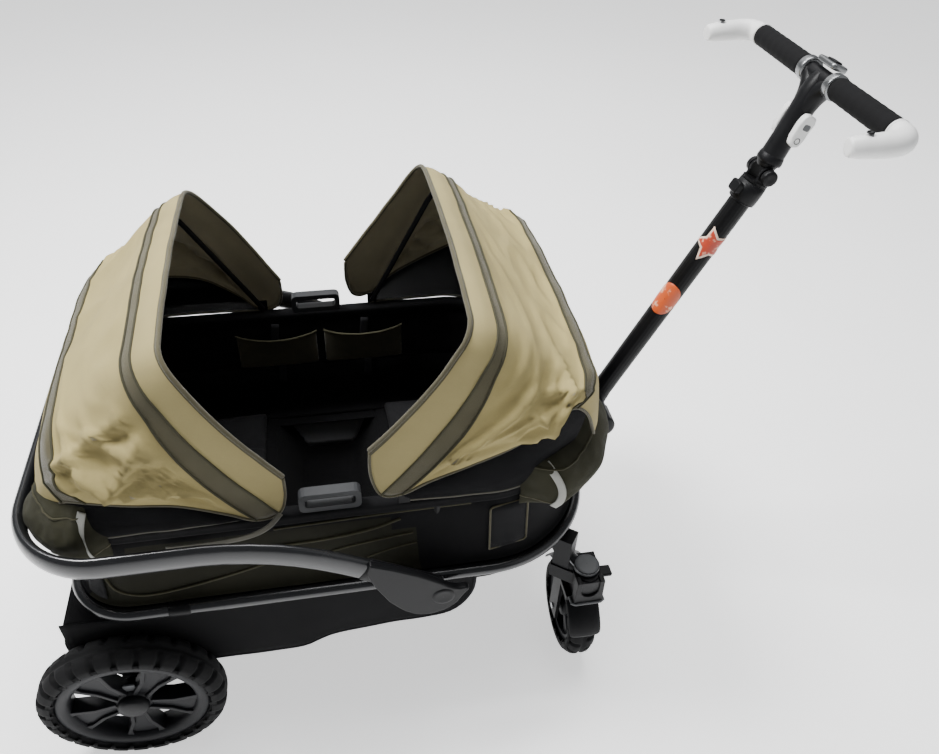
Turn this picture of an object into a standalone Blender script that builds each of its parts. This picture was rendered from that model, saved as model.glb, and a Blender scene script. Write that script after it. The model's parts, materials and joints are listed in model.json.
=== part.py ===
"""Folding wagon stroller with a pull handle: a long fabric tub on four wheels with two hoods.

The row frame has its origin on the ground under the middle of the whole wagon's box.
+X points to the handle end, +Y to the wagon's left side and +Z up. Sizes are in metres.
All X values below are counted from the tub's centre, which lies TUB_X from the origin.
"""

import math

import bmesh
import bpy
from mathutils import Matrix, Vector

# Driving dimensions -------------------------------------------------------------------
TUB_X = -0.1553
GAP = 0.0003

REAR_WHEEL_R = 0.150
REAR_WHEEL_X = -0.357
REAR_WHEEL_Y = 0.3265
REAR_TYRE_WIDTH = 0.055
REAR_RIM_R = 0.121
REAR_RIM_WIDTH = 0.040
AXLE_R = 0.009
AXLE_BORE_R = 0.0096

CASTER_X = 0.440
CASTER_Y = 0.272
CASTER_TRAIL = 0.040
CASTER_WHEEL_R = 0.095
CASTER_TYRE_WIDTH = 0.050
CASTER_RIM_R = 0.072
CASTER_RIM_WIDTH = 0.040
STEM_R = 0.010
STEM_BORE_R = 0.0106
BOLT_R = 0.006
BOLT_BORE_R = 0.0065

LOOP_Z = 0.340
LOOP_R = 0.011
LOOP_HALF_WIDTH = 0.300
LOOP_REAR_X = -0.417
LOOP_FRONT_X = 0.450
LOOP_REAR_CORNER = 0.100
LOOP_FRONT_CORNER = 0.200
LOOP_JOINT_X = -0.250

WALL_INSET = 0.0215
WALL_THICK = 0.0035
WALL_BOTTOM = 0.345
WALL_TOP = 0.478
RIM_INSET = 0.0365
RIM_Z = 0.490
RIM_R = 0.010
TRAY_INSET = 0.050
TRAY_THICK = 0.004
TRAY_FLOOR_Z = 0.235
TRAY_TOP_Z = 0.362
FOOTWELL_Z = 0.135
PAD_THICK = 0.034

POST_R = 0.008
SOCKET_R = 0.0105
SOCKET_BORE_R = 0.0086
POST_PLACES = {"rear": (-0.335, 0.260), "front": (0.165, 0.2635)}
CROSS_Z = 0.222
CROSS_R = 0.009

HOOP_HALF_WIDTH = 0.334
HOOP_REAR_X = -0.457
HOOP_CORNER = 0.130
HOOP_PIVOT = (0.165, 0.345)
HOOP_TUBE = (0.020, 0.042)
HOOP_Z = 0.505
HOOP_BEND = (-0.20, 0.02)
HOOP_SLOPE = 0.60
HOOP_END_X = 0.115

HOOD_MID_X = 0.004
BOW_PIVOT = (0.109, 0.512)
BOW_Y = 0.2635
BOW_TOP = (0.250, 0.262, 0.782)
RIB_FOOT = {"rear": (0.379, 0.225, 0.5055), "front": (0.346, 0.225, 0.5055)}
RIB_TOP = (0.390, 0.235, 0.680)
BOW_R = 0.005
CLOTH = 0.003

HINGE_X = 0.512
HINGE_Z = 0.415
POLE_LEAN = math.radians(25.2)
POLE_LENGTH = 0.5247
POLE_R = 0.0185
POLE_INNER_R = 0.0160
HEAD_LEAN = math.radians(20.1)
HEAD_LENGTH = 0.160
GRIP_R = 0.0175
GRIP_SPAN = (0.046, 0.197)
BAR_R = 0.0135

# Colours (base colour, roughness, metallic) --------------------------------------------
BLACK_TUBE = ((0.020, 0.021, 0.023), 0.38, 0.6)
STEEL = ((0.45, 0.46, 0.47), 0.30, 1.0)
BLACK_PLASTIC = ((0.022, 0.023, 0.025), 0.55, 0.0)
GREY_PLASTIC = ((0.16, 0.165, 0.17), 0.50, 0.0)
RUBBER = ((0.035, 0.036, 0.038), 0.85, 0.0)
WHITE_PLASTIC = ((0.82, 0.82, 0.80), 0.35, 0.0)
FOAM = ((0.030, 0.030, 0.032), 0.90, 0.0)
BLACK_CLOTH = ((0.018, 0.018, 0.021), 0.90, 0.0)
OLIVE_CLOTH = ((0.075, 0.073, 0.048), 0.88, 0.0)
KHAKI_CLOTH = ((0.50, 0.45, 0.30), 0.85, 0.0)

SIDES = (("left", 1), ("right", -1))
ENDS = (("rear", -1), ("front", 1))


# Scene and placing ---------------------------------------------------------------------
for old in list(bpy.data.objects):
    bpy.data.objects.remove(old)

parts = bpy.data.collections.new("pull_handle_wagon")
cutters = bpy.data.collections.new("cutters")
bpy.context.scene.collection.children.link(parts)
bpy.context.scene.collection.children.link(cutters)


def pivot(name, place, parent=None):
    """An empty at `place`, counted from the tub's centre, that moving pieces hang on."""
    empty = bpy.data.objects.new(name, None)
    parts.objects.link(empty)
    empty["place"] = place
    if parent is None:
        empty.location = place
    else:
        empty.parent = parent
        empty.location = Vector(place) - Vector(parent["place"])
    return empty


def material(name, look):
    """A Principled material of the sub-part's own."""
    colour, roughness, metallic = look
    made = bpy.data.materials.new(name)
    made.use_nodes = True
    shader = made.node_tree.nodes["Principled BSDF"]
    shader.inputs["Base Color"].default_value = (*colour, 1)
    shader.inputs["Roughness"].default_value = roughness
    shader.inputs["Metallic"].default_value = metallic
    return made


def add(name, data, look, on, at=(0, 0, 0), turn=(0, 0, 0), cutter=False):
    """Puts a mesh or curve in the scene at `at`, turned, and hung on the pivot `on`."""
    made = bpy.data.objects.new(name, data)
    (cutters if cutter else parts).objects.link(made)
    made.parent = on
    made.location = Vector(at) - Vector(on["place"])
    made.rotation_euler = turn
    if cutter:
        made.hide_render = True
        made.display_type = "WIRE"
    else:
        data.materials.append(material(name, look))
    return made


# Shapes --------------------------------------------------------------------------------
def finish_mesh(name, bm):
    """A mesh from a bmesh with outward faces, smooth where it is round."""
    bmesh.ops.recalc_face_normals(bm, faces=bm.faces)
    mesh = bpy.data.meshes.new(name)
    bm.to_mesh(mesh)
    bm.free()
    mesh.shade_smooth()
    mesh.set_sharp_from_angle(angle=math.radians(35))
    return mesh


def block_mesh(name, *boxes):
    """One mesh of separate boxes, each (low corner, high corner)."""
    bm = bmesh.new()
    for low, high in boxes:
        size = Vector(high) - Vector(low)
        middle = (Vector(high) + Vector(low)) / 2
        shape = Matrix.Translation(middle) @ Matrix.Diagonal((*size, 1))
        bmesh.ops.create_cube(bm, size=1, matrix=shape)
    return finish_mesh(name, bm)


def rod_mesh(name, *rods, sides=16):
    """One mesh of separate round rods, each (start, end, radius)."""
    bm = bmesh.new()
    for start, end, radius in rods:
        run = Vector(end) - Vector(start)
        turn = run.to_track_quat("Z", "Y").to_matrix().to_4x4()
        place = Matrix.Translation((Vector(start) + Vector(end)) / 2) @ turn
        bmesh.ops.create_cone(bm, cap_ends=True, segments=sides, radius1=radius,
                              radius2=radius, depth=run.length, matrix=place)
    return finish_mesh(name, bm)


def bevelled(made, width, segments=2):
    """Rounds the edges of a mesh object."""
    bevel = made.modifiers.new("round_edges", "BEVEL")
    bevel.width = width
    bevel.segments = segments
    bevel.limit_method = "ANGLE"
    return made


def boolean(made, other, operation):
    """Cuts `other` out of `made`, or joins it on."""
    step = made.modifiers.new(operation.lower(), "BOOLEAN")
    step.operation = operation
    step.object = other
    step.solver = "EXACT"
    return made


def turned(name, profile, steps, look, on, at, turn, facet_down=False, cutter=False):
    """A turned shape about its local Z from (radius, height) points down its outer side."""
    mesh = bpy.data.meshes.new(name)
    closed = profile[0][0] > 0
    edges = [(i, i + 1) for i in range(len(profile) - 1)]
    if closed:
        edges.append((len(profile) - 1, 0))
    mesh.from_pydata([(r, 0, z) for r, z in profile], edges, [])
    if facet_down:
        mesh.transform(Matrix.Rotation(math.pi / 2 + math.pi / steps, 4, "Z"))
    made = add(name, mesh, look, on, at, turn, cutter)
    screw = made.modifiers.new("turn", "SCREW")
    screw.axis = "Z"
    screw.steps = steps
    screw.render_steps = steps
    screw.use_merge_vertices = True
    screw.merge_threshold = 0.00001
    screw.use_smooth_shade = True
    return made


def arc(centre, radius, start, end, count):
    """Points of a flat arc, with angles in degrees."""
    for i in range(count + 1):
        angle = math.radians(start + (end - start) * i / count)
        yield (centre[0] + radius * math.cos(angle), centre[1] + radius * math.sin(angle))


def curve_data(name, outlines, cyclic, depth=0.0):
    """A flat filled curve (2-D outlines) or a 3-D path."""
    curve = bpy.data.curves.new(name, "CURVE")
    curve.dimensions = "3D" if depth is None else "2D"
    if depth is not None:
        curve.fill_mode = "BOTH"
        curve.extrude = depth / 2
    for outline in outlines:
        spline = curve.splines.new("POLY")
        spline.points.add(len(outline) - 1)
        for point, place in zip(spline.points, outline):
            point.co = (*place, 0, 1) if len(place) == 2 else (*place, 1)
        spline.use_cyclic_u = cyclic
    return curve


def plate(name, outlines, thick, look, on, at, turn=(0, 0, 0)):
    """A flat outline, with any holes, given a thickness about its own plane."""
    return add(name, curve_data(name, outlines, True, thick), look, on, at, turn)


UPRIGHT = (math.pi / 2, 0, 0)


def tube(name, paths, radius, look, on, resolution=2, radii=None):
    """Round tubes along 3-D paths with closed ends."""
    local = [[Vector(p) - Vector(on["place"]) for p in path] for path in paths]
    curve = curve_data(name, local, False, None)
    curve.bevel_depth = radius
    curve.bevel_resolution = resolution
    curve.use_fill_caps = True
    for spline in curve.splines:
        for point, scale in zip(spline.points, radii or []):
            point.radius = scale
    return add(name, curve, look, on, on["place"])


def as_mesh(made):
    """Turns a curve object into a mesh object with welded caps."""
    bpy.context.view_layer.update()
    ready = made.evaluated_get(bpy.context.evaluated_depsgraph_get())
    mesh = bpy.data.meshes.new_from_object(ready)
    bm = bmesh.new()
    bm.from_mesh(mesh)
    bmesh.ops.remove_doubles(bm, verts=bm.verts, dist=0.00001)
    bmesh.ops.recalc_face_normals(bm, faces=bm.faces)
    bm.to_mesh(mesh)
    bm.free()
    name, parent, place = made.name, made.parent, made.matrix_world.copy()
    bpy.data.objects.remove(made)
    solid = bpy.data.objects.new(name, mesh)
    parts.objects.link(solid)
    solid.parent = parent
    solid.matrix_parent_inverse = Matrix.Identity(4)
    bpy.context.view_layer.update()
    solid.matrix_world = place
    return solid


def as_cutter(made):
    """Moves a curve object, made a mesh, to the cutters."""
    solid = as_mesh(made)
    parts.objects.unlink(solid)
    cutters.objects.link(solid)
    solid.hide_render = True
    solid.display_type = "WIRE"
    return solid


def circle(radius, sides, centre=(0, 0)):
    """A closed ring of points."""
    return list(arc(centre, radius, 0, 360 - 360 / sides, sides - 1))


def rounded_box(low_x, high_x, half_y, low_corner, high_corner, steps=4):
    """A plan outline with one corner radius at each end."""
    centres = ((high_x - high_corner, half_y - high_corner, high_corner, 0),
               (low_x + low_corner, half_y - low_corner, low_corner, 90),
               (low_x + low_corner, low_corner - half_y, low_corner, 180),
               (high_x - high_corner, high_corner - half_y, high_corner, 270))
    points = []
    for x, y, radius, start in centres:
        points += arc((x, y), radius, start, start + 90, steps)
    return points


def tub_plan(inset, steps=4):
    """The tub's plan, `inset` inside the centre line of the lower frame loop."""
    return rounded_box(LOOP_REAR_X + inset, LOOP_FRONT_X - inset, LOOP_HALF_WIDTH - inset,
                       LOOP_REAR_CORNER - inset, LOOP_FRONT_CORNER - inset, steps)


def u_path(open_x, end_x, half_y, corner, z, steps=6):
    """A level U: from (open_x, -half_y) round the end at end_x to (open_x, half_y)."""
    way = 1 if end_x > open_x else -1
    side = [(end_x - way * corner + way * x, y - half_y + corner)
            for x, y in arc((0, 0), corner, -90, 0, steps)]
    low = [(open_x, -half_y)] + side
    high = [(x, -y) for x, y in reversed(low)]
    return [(x, y, z) for x, y in low + high]


def arch(foot, top, corner, steps=4):
    """A hood rib's path: foot, leg, rounded corner and roof, mirrored in Y."""
    foot, top = Vector(foot), Vector(top)
    down = (foot - top).normalized()
    across = Vector((0, -1, 0))
    half = [foot]
    for i in range(steps + 1):
        s = i / steps
        half.append(top + down * corner * (1 - s) ** 2 + across * corner * s ** 2)
    return half + [Vector((p.x, -p.y, p.z)) for p in reversed(half)]


def prism(name, outline, low_z, high_z):
    """A straight-sided solid mesh on a plan outline."""
    bm = bmesh.new()
    floor = bm.faces.new([bm.verts.new((x, y, low_z)) for x, y in outline])
    grown = bmesh.ops.extrude_face_region(bm, geom=[floor])
    up = [v for v in grown["geom"] if isinstance(v, bmesh.types.BMVert)]
    bmesh.ops.translate(bm, verts=up, vec=(0, 0, high_z - low_z))
    return finish_mesh(name, bm)


def funnel(name, top, bottom, low_z, high_z):
    """A box whose plan narrows from half sizes `top` to half sizes `bottom`."""
    bm = bmesh.new()
    made = bmesh.ops.create_cube(bm, size=2)
    for vert in made["verts"]:
        half = top if vert.co.z > 0 else bottom
        vert.co.x *= half[0]
        vert.co.y *= half[1]
        vert.co.z = high_z if vert.co.z > 0 else low_z
    return finish_mesh(name, bm)


# Pivots --------------------------------------------------------------------------------
def along(lean, length, start=(0.0, 0.0)):
    """(x, z) after `length` up a line that leans forward from `start`."""
    return (start[0] + length * math.sin(lean), start[1] + length * math.cos(lean))


KNUCKLE = along(POLE_LEAN, POLE_LENGTH, (HINGE_X, HINGE_Z))
TEE = along(HEAD_LEAN, HEAD_LENGTH, KNUCKLE)

centre = pivot("wagon_centre", (0, 0, 0))
centre.location = (TUB_X, 0, 0)
fold_pivot = pivot("fold_slide", (0, 0, RIM_Z), centre)
hoop_pivot = pivot("hoop_hinge", (HOOP_PIVOT[0], 0, HOOP_PIVOT[1]), centre)
pole_pivot = pivot("handle_hinge", (HINGE_X, 0, HINGE_Z), centre)
slide_pivot = pivot("handle_slide", (HINGE_X, 0, HINGE_Z), pole_pivot)
head_pivot = pivot("handle_tilt", (KNUCKLE[0], 0, KNUCKLE[1]), slide_pivot)
lever_pivot = pivot("release_slide", (TEE[0], 0, TEE[1]), head_pivot)
BRAKE = (-0.385, 0.185)
brake_pivot = pivot("brake_hinge", (BRAKE[0], 0, BRAKE[1]), centre)
on_wheel, on_caster, on_front, on_lock, on_button = {}, {}, {}, {}, {}
LOCK = (CASTER_X + 0.0335, CASTER_Y, 0.245)
for side, way in SIDES:
    on_wheel[side] = pivot("rear_spin_" + side,
                           (REAR_WHEEL_X, way * REAR_WHEEL_Y, REAR_WHEEL_R), centre)
    on_caster[side] = pivot("caster_swivel_" + side,
                            (CASTER_X, way * CASTER_Y, CASTER_WHEEL_R), centre)
    on_front[side] = pivot("front_spin_" + side,
                           (CASTER_X, way * (CASTER_Y - CASTER_TRAIL), CASTER_WHEEL_R),
                           on_caster[side])
    on_lock[side] = pivot("lock_hinge_" + side, (LOCK[0], way * LOCK[1], LOCK[2]), centre)
    on_button[side] = pivot("knuckle_button_" + side + "_slide",
                            (KNUCKLE[0], way * 0.0225, KNUCKLE[1]), slide_pivot)
on_bow = {end: pivot("bow_hinge_" + end,
                     (HOOD_MID_X + way * BOW_PIVOT[0], 0, BOW_PIVOT[1]), fold_pivot)
          for end, way in ENDS}


# Lower frame ---------------------------------------------------------------------------
def lower_frame():
    tube("lower_loop_rear",
         [u_path(LOOP_JOINT_X, LOOP_REAR_X, LOOP_HALF_WIDTH, LOOP_REAR_CORNER, LOOP_Z, 8)],
         LOOP_R, BLACK_TUBE, centre)
    tube("lower_loop_front",
         [u_path(LOOP_JOINT_X + GAP, LOOP_FRONT_X, LOOP_HALF_WIDTH, LOOP_FRONT_CORNER,
                 LOOP_Z, 11)],
         LOOP_R, BLACK_TUBE, centre)
    add("rear_axle",
        rod_mesh("rear_axle", ((REAR_WHEEL_X, -0.3463, REAR_WHEEL_R),
                               (REAR_WHEEL_X, 0.3463, REAR_WHEEL_R), AXLE_R)),
        STEEL, centre)
    cross_frame("rear", ((REAR_WHEEL_X, 0, REAR_WHEEL_R),
                [leg_outline(), circle(AXLE_BORE_R, 16),
                 circle(0.0067, 12, (BRAKE[0] - REAR_WHEEL_X, BRAKE[1] - REAR_WHEEL_R))]))
    cross_frame("front", ((POST_PLACES["front"][0], 0, CROSS_Z),
                [rounded_box(-0.016, 0.016, 0.012, 0.004, 0.004, 1)]))


def cross_frame(end, leg):
    """A cross tube with the sockets of two posts and a leg or hanger on each side."""
    x, y = POST_PLACES[end]
    name = end + "_cross_frame"
    made = add(name, rod_mesh(name, ((x, -0.2840, CROSS_Z), (x, 0.2840, CROSS_Z), CROSS_R),
                              sides=12), BLACK_TUBE, centre)
    place, outlines = leg
    if end == "front":
        outlines = [[(px, py * 4.8 + 0.0485) for px, py in outlines[0]]]
    for way in (1, -1):
        side = plate(f"{end}_leg_{way}", outlines, 0.0115, BLACK_TUBE, centre,
                     (place[0], way * 0.28725, place[2]), UPRIGHT)
        boolean(made, as_cutter(side), "UNION")
    low, top = CROSS_Z + 0.004, TRAY_TOP_Z
    ups = [((x, way * y, low), (x, way * y, top), SOCKET_R) for way in (1, -1)]
    bores = [((x, way * y, low + 0.012), (x, way * y, top + 0.01), SOCKET_BORE_R)
             for way in (1, -1)]
    for label, rods, kind in (("sockets", ups, "UNION"), ("bores", bores, "DIFFERENCE")):
        mesh = rod_mesh(name + "_" + label, *rods, sides=12)
        boolean(made, add(name + "_" + label, mesh, None, centre, cutter=True), kind)


def leg_outline():
    """A leg from the loop down to the axle, seen from the side, round at its foot."""
    top = LOOP_Z - REAR_WHEEL_R - 0.012
    return ([(0.047, top), (-0.047, top), (-0.040, 0.030)]
            + list(arc((0, 0), 0.026, 150, 390, 8)) + [(0.034, 0.060)])


def casters():
    """Swivel housings on the front corners, forks, bolts, wheels and lock levers."""
    for side, way in SIDES:
        y = way * CASTER_Y
        housing = add("caster_housing_" + side, funnel("housing", (0.025, 0.034),
                      (0.023, 0.030), 0.2036, 0.262), BLACK_PLASTIC, centre,
                      (CASTER_X, y, 0))
        boss = add("boss_" + side, rod_mesh("boss", ((0, 0, 0.25), (0, 0, 0.274), 0.023),
                   sides=20), None, centre, (CASTER_X, y, 0), cutter=True)
        arm = add("arm_" + side, block_mesh("arm", ((-0.062, -0.0190, 0.2263),
                  (-0.004, 0.0190, 0.2571))), None, centre, (CASTER_X, y, 0),
                  (0, 0, math.radians(way * 37)), cutter=True)
        foot = add("arm_foot_" + side, block_mesh("arm_foot", ((-0.060, -0.0165, 0.2407),
                   (-0.029, 0.0165, LOOP_Z - LOOP_R - GAP))), None, centre,
                   (CASTER_X, y, 0), (0, 0, math.radians(way * 37)), cutter=True)
        bore = add("stem_bore_" + side, rod_mesh("stem_bore", ((0, 0, 0.19), (0, 0, 0.2585),
                   STEM_BORE_R)), None, centre, (CASTER_X, y, 0), cutter=True)
        for piece in (boss, arm, foot):
            boolean(housing, piece, "UNION")
        boolean(housing, bore, "DIFFERENCE")

        hang = on_caster[side]
        axle_y = way * (CASTER_Y - CASTER_TRAIL)
        stem = add("caster_fork_" + side, rod_mesh("fork", ((0, 0, 0.1975), (0, 0, 0.2575),
                   STEM_R)), BLACK_PLASTIC, hang, (CASTER_X, y, 0))
        crown = add("crown_" + side, block_mesh("crown", ((-0.0345, -0.060, 0.1925),
                    (0.0345, 0.016, 0.2030))), None, hang, (CASTER_X, y, 0),
                    (0, 0, math.pi if way < 0 else 0), cutter=True)
        cheeks = add("cheeks_" + side, block_mesh("cheeks",
                     ((-0.0345, -0.019, 0.078), (-0.0280, 0.019, 0.1980)),
                     ((0.0280, -0.019, 0.078), (0.0345, 0.019, 0.1980))), None, hang,
                     (CASTER_X, axle_y, 0), cutter=True)
        hole = add("bolt_hole_" + side, rod_mesh("bolt_hole", ((-0.05, 0, CASTER_WHEEL_R),
                   (0.05, 0, CASTER_WHEEL_R), BOLT_BORE_R)), None, hang,
                   (CASTER_X, axle_y, 0), cutter=True)
        boolean(stem, crown, "UNION")
        boolean(stem, cheeks, "UNION")
        boolean(stem, hole, "DIFFERENCE")
        add("caster_bolt_" + side, rod_mesh("bolt", ((-0.037, 0, 0), (0.037, 0, 0), BOLT_R)),
            STEEL, hang, (CASTER_X, axle_y, CASTER_WHEEL_R))

        spin = on_front[side]
        hub = (CASTER_X, axle_y, CASTER_WHEEL_R)
        turned("front_tyre_" + side,
               tyre_profile(CASTER_WHEEL_R, CASTER_RIM_R + GAP, CASTER_TYRE_WIDTH, 32), 32,
               RUBBER, spin, hub, (0, math.pi / 2, 0), facet_down=True)
        plate("front_rim_" + side, rim_outlines(CASTER_RIM_R, 0.024, BOLT_BORE_R, 32),
              CASTER_RIM_WIDTH, BLACK_PLASTIC, spin, hub, (0, math.pi / 2, 0))

        lock = add("swivel_lock_" + side, block_mesh("lock", ((-0.0075, -0.011, -0.004),
                   (0.0155, 0.011, 0.004))), GREY_PLASTIC, on_lock[side],
                   (LOCK[0], way * LOCK[1], LOCK[2]))
        bevelled(lock, 0.0018, 1)


def tyre_profile(radius, inner, width, sides):
    """A closed tyre section, its outer side first, whose facets lie at the true radius."""
    outer = radius / math.cos(math.pi / sides)
    inner = inner / math.cos(math.pi / sides)
    half = width / 2
    shoulder = outer - 0.010
    return [(shoulder, half), (outer, half - 0.011), (outer, 0.011 - half),
            (shoulder, -half), (inner, 0.006 - half), (inner, half - 0.006)]


def rim_outlines(radius, hub, bore, sides):
    """A rim seen along its axle: edge, bore and five windows between wide spokes."""
    outlines = [circle(radius, sides), circle(bore, 16)]
    for k in range(5):
        middle = 72 * k + 54
        outer = list(arc((0, 0), radius - 0.013, middle - 24, middle + 24, 4))
        inner = list(arc((0, 0), hub + 0.004, middle + 14, middle - 14, 2))
        outlines.append(outer + inner)
    return outlines


def rear_wheels():
    for side, way in SIDES:
        spin = on_wheel[side]
        hub = (REAR_WHEEL_X, way * REAR_WHEEL_Y, REAR_WHEEL_R)
        turned("rear_tyre_" + side,
               tyre_profile(REAR_WHEEL_R, REAR_RIM_R + GAP, REAR_TYRE_WIDTH, 40), 40,
               RUBBER, spin, hub, UPRIGHT, facet_down=True)
        plate("rear_rim_" + side, rim_outlines(REAR_RIM_R, 0.034, AXLE_BORE_R, 40),
              REAR_RIM_WIDTH, BLACK_PLASTIC, spin, hub, UPRIGHT)
        face = REAR_WHEEL_Y + REAR_RIM_WIDTH / 2 + GAP
        add("hub_cap_" + side, rod_mesh("hub_cap", ((0, way * face, 0),
            (0, way * (face + 0.010), 0), 0.026), sides=20), GREY_PLASTIC, spin,
            (REAR_WHEEL_X, 0, REAR_WHEEL_R))


def brake():
    """A bar through the axle legs with a foot pedal in the middle."""
    bar = add("brake_pedal", rod_mesh("bar", ((0, -0.292, 0), (0, 0.292, 0), 0.006), sides=12),
              BLACK_TUBE, brake_pivot, (BRAKE[0], 0, BRAKE[1]))
    pad = add("pedal_pad", block_mesh("pad", ((-0.075, -0.055, -0.005), (0.004, 0.055, 0.005))),
              None, brake_pivot, (BRAKE[0], 0, BRAKE[1]), cutter=True)
    boolean(bar, pad, "UNION")


# Tub -----------------------------------------------------------------------------------
def tub():
    """The lower tray with its footwell, the seat pads and the black side skirts."""
    tray = add("tub_tray", prism("tub_tray", tub_plan(TRAY_INSET), TRAY_FLOOR_Z, TRAY_TOP_Z),
               BLACK_CLOTH, centre)
    well = add("footwell", funnel("footwell", (0.110, 0.240), (0.060, 0.200), FOOTWELL_Z,
               TRAY_FLOOR_Z + 0.010), None, centre, cutter=True)
    room = add("tray_room", prism("tray_room", tub_plan(TRAY_INSET + TRAY_THICK),
               TRAY_FLOOR_Z + TRAY_THICK, TRAY_TOP_Z + 0.01), None, centre, cutter=True)
    legroom = add("footwell_room", funnel("footwell_room", (0.107, 0.2365), (0.056, 0.196),
                  FOOTWELL_Z + TRAY_THICK, TRAY_FLOOR_Z + 0.012), None, centre, cutter=True)
    boolean(tray, well, "UNION")
    boolean(tray, room, "DIFFERENCE")
    boolean(tray, legroom, "DIFFERENCE")
    low = TRAY_FLOOR_Z + TRAY_THICK + GAP
    for end, way in ENDS:
        reach = abs(LOOP_REAR_X if way < 0 else LOOP_FRONT_X) - TRAY_INSET - 0.012
        corner = 0.045 if way < 0 else 0.142
        outline = rounded_box(0.118, reach, 0.238, 0.015, corner, 3)
        plate("seat_pad_" + end, [[(way * x, y) for x, y in outline]], PAD_THICK, BLACK_CLOTH,
              centre, (0, 0, low + PAD_THICK / 2))
    skirt = [(-0.305, 0.3275), (0.215, 0.3275), (0.195, 0.240), (0.060, 0.212),
             (-0.010, 0.205), (-0.070, 0.180), (-0.305, 0.180)]
    for side, way in SIDES:
        plate("skirt_" + side, [skirt], 0.003, BLACK_CLOTH, centre, (0, way * 0.2950, 0),
              UPRIGHT)


# Rear hoop -----------------------------------------------------------------------------
def hoop_height(x):
    """Height of the hoop's centre line: level at the rear, then down a steady slope."""
    bend = min(max(x - HOOP_BEND[0], 0), HOOP_BEND[1] - HOOP_BEND[0])
    drop = HOOP_SLOPE * bend ** 2 / (2 * (HOOP_BEND[1] - HOOP_BEND[0]))
    return HOOP_Z - drop - HOOP_SLOPE * max(x - HOOP_BEND[1], 0)


def hoop():
    """The flat-sided hoop round the rear with a moulded cover and pivot on each end."""
    flat = u_path(HOOP_END_X, HOOP_REAR_X, HOOP_HALF_WIDTH, HOOP_CORNER, 0, 10)
    xs = [HOOP_END_X - 0.045 * k for k in range(9)]
    near = [(x, -HOOP_HALF_WIDTH, 0) for x in xs]
    far = [(x, HOOP_HALF_WIDTH, 0) for x in reversed(xs)]
    path = [(x, y, hoop_height(x)) for x, y, _ in near + flat[1:-1] + far]
    curve = curve_data("hoop_tube", [[Vector(p) - Vector(hoop_pivot["place"]) for p in path]],
                       False, None)
    curve.twist_mode = "Z_UP"
    wide, tall = HOOP_TUBE
    section = curve_data("hoop_section", [rounded_box(-wide / 2, wide / 2, tall / 2,
                         0.006, 0.006, 2)], True, 0.0)
    section.fill_mode = "NONE"
    guide = bpy.data.objects.new("hoop_section", section)
    cutters.objects.link(guide)
    guide.hide_render = True
    guide.display_type = "WIRE"
    curve.bevel_mode = "OBJECT"
    curve.bevel_object = guide
    curve.use_fill_caps = True
    as_mesh(add("hoop_tube", curve, BLACK_TUBE, hoop_pivot, hoop_pivot["place"]))
    x, z = HOOP_PIVOT
    body = [(-0.0383, 0.0548), (-0.0600, 0.0190)] + list(arc((0, 0), 0.022, 240, 430, 8))
    for side, way in SIDES:
        plate("hoop_cover_" + side, [body, circle(0.0064, 12)], 0.022, BLACK_PLASTIC,
              hoop_pivot, (x, way * (HOOP_HALF_WIDTH - 0.001), z), UPRIGHT)
        add("hoop_pin_" + side, rod_mesh("hoop_pin",
            ((x, way * (LOOP_HALF_WIDTH + LOOP_R + GAP), z),
             (x, way * (HOOP_HALF_WIDTH + 0.014), z), 0.0058), sides=12), STEEL, centre)


# Upper frame ---------------------------------------------------------------------------
def upper_frame():
    """The rim with its sliding posts and hood lugs, the fabric walls and grab handles."""
    for end, way in ENDS:
        reach = LOOP_REAR_X if way < 0 else LOOP_FRONT_X
        corner = LOOP_REAR_CORNER if way < 0 else LOOP_FRONT_CORNER
        rim = as_mesh(tube("rim_" + end, [u_path(way * GAP / 2, reach - way * RIM_INSET,
                      LOOP_HALF_WIDTH - RIM_INSET, corner - RIM_INSET, RIM_Z, 5)], RIM_R,
                      BLACK_TUBE, fold_pivot))
        x, y = POST_PLACES[end]
        posts = rod_mesh("posts", *[((x, side * y, 0.325), (x, side * y, RIM_Z), POST_R)
                                    for side in (1, -1)], sides=12)
        boolean(rim, add("posts_" + end, posts, None, fold_pivot, cutter=True), "UNION")
        ear_x = HOOD_MID_X + way * BOW_PIVOT[0]
        ears = block_mesh("ears", *[((ear_x - 0.009, min(side * 0.2690, side * 0.2740), 0.488),
                                     (ear_x + 0.009, max(side * 0.2690, side * 0.2740), 0.5225))
                                    for side in (1, -1)])
        boolean(rim, add("lugs_" + end, ears, None, fold_pivot, cutter=True), "UNION")
    walls = as_mesh(plate("upper_walls", [tub_plan(WALL_INSET),
                    tub_plan(WALL_INSET + WALL_THICK)], WALL_TOP - WALL_BOTTOM, BLACK_CLOTH,
                    fold_pivot, (0, 0, (WALL_TOP + WALL_BOTTOM) / 2)))
    pockets = add("pockets", corner_pockets(), None, fold_pivot, cutter=True)
    boolean(walls, pockets, "UNION")
    grip = rounded_box(-0.0475, 0.0475, 0.019, 0.010, 0.010, 3)
    gap = rounded_box(-0.0385, 0.0385, 0.009, 0.006, 0.006, 3)
    for side, way in SIDES:
        plate("grab_handle_" + side, [grip, gap], 0.018, GREY_PLASTIC, fold_pivot,
              (0, way * (LOOP_HALF_WIDTH - RIM_INSET), RIM_Z + RIM_R + GAP + 0.019), UPRIGHT)


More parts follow.
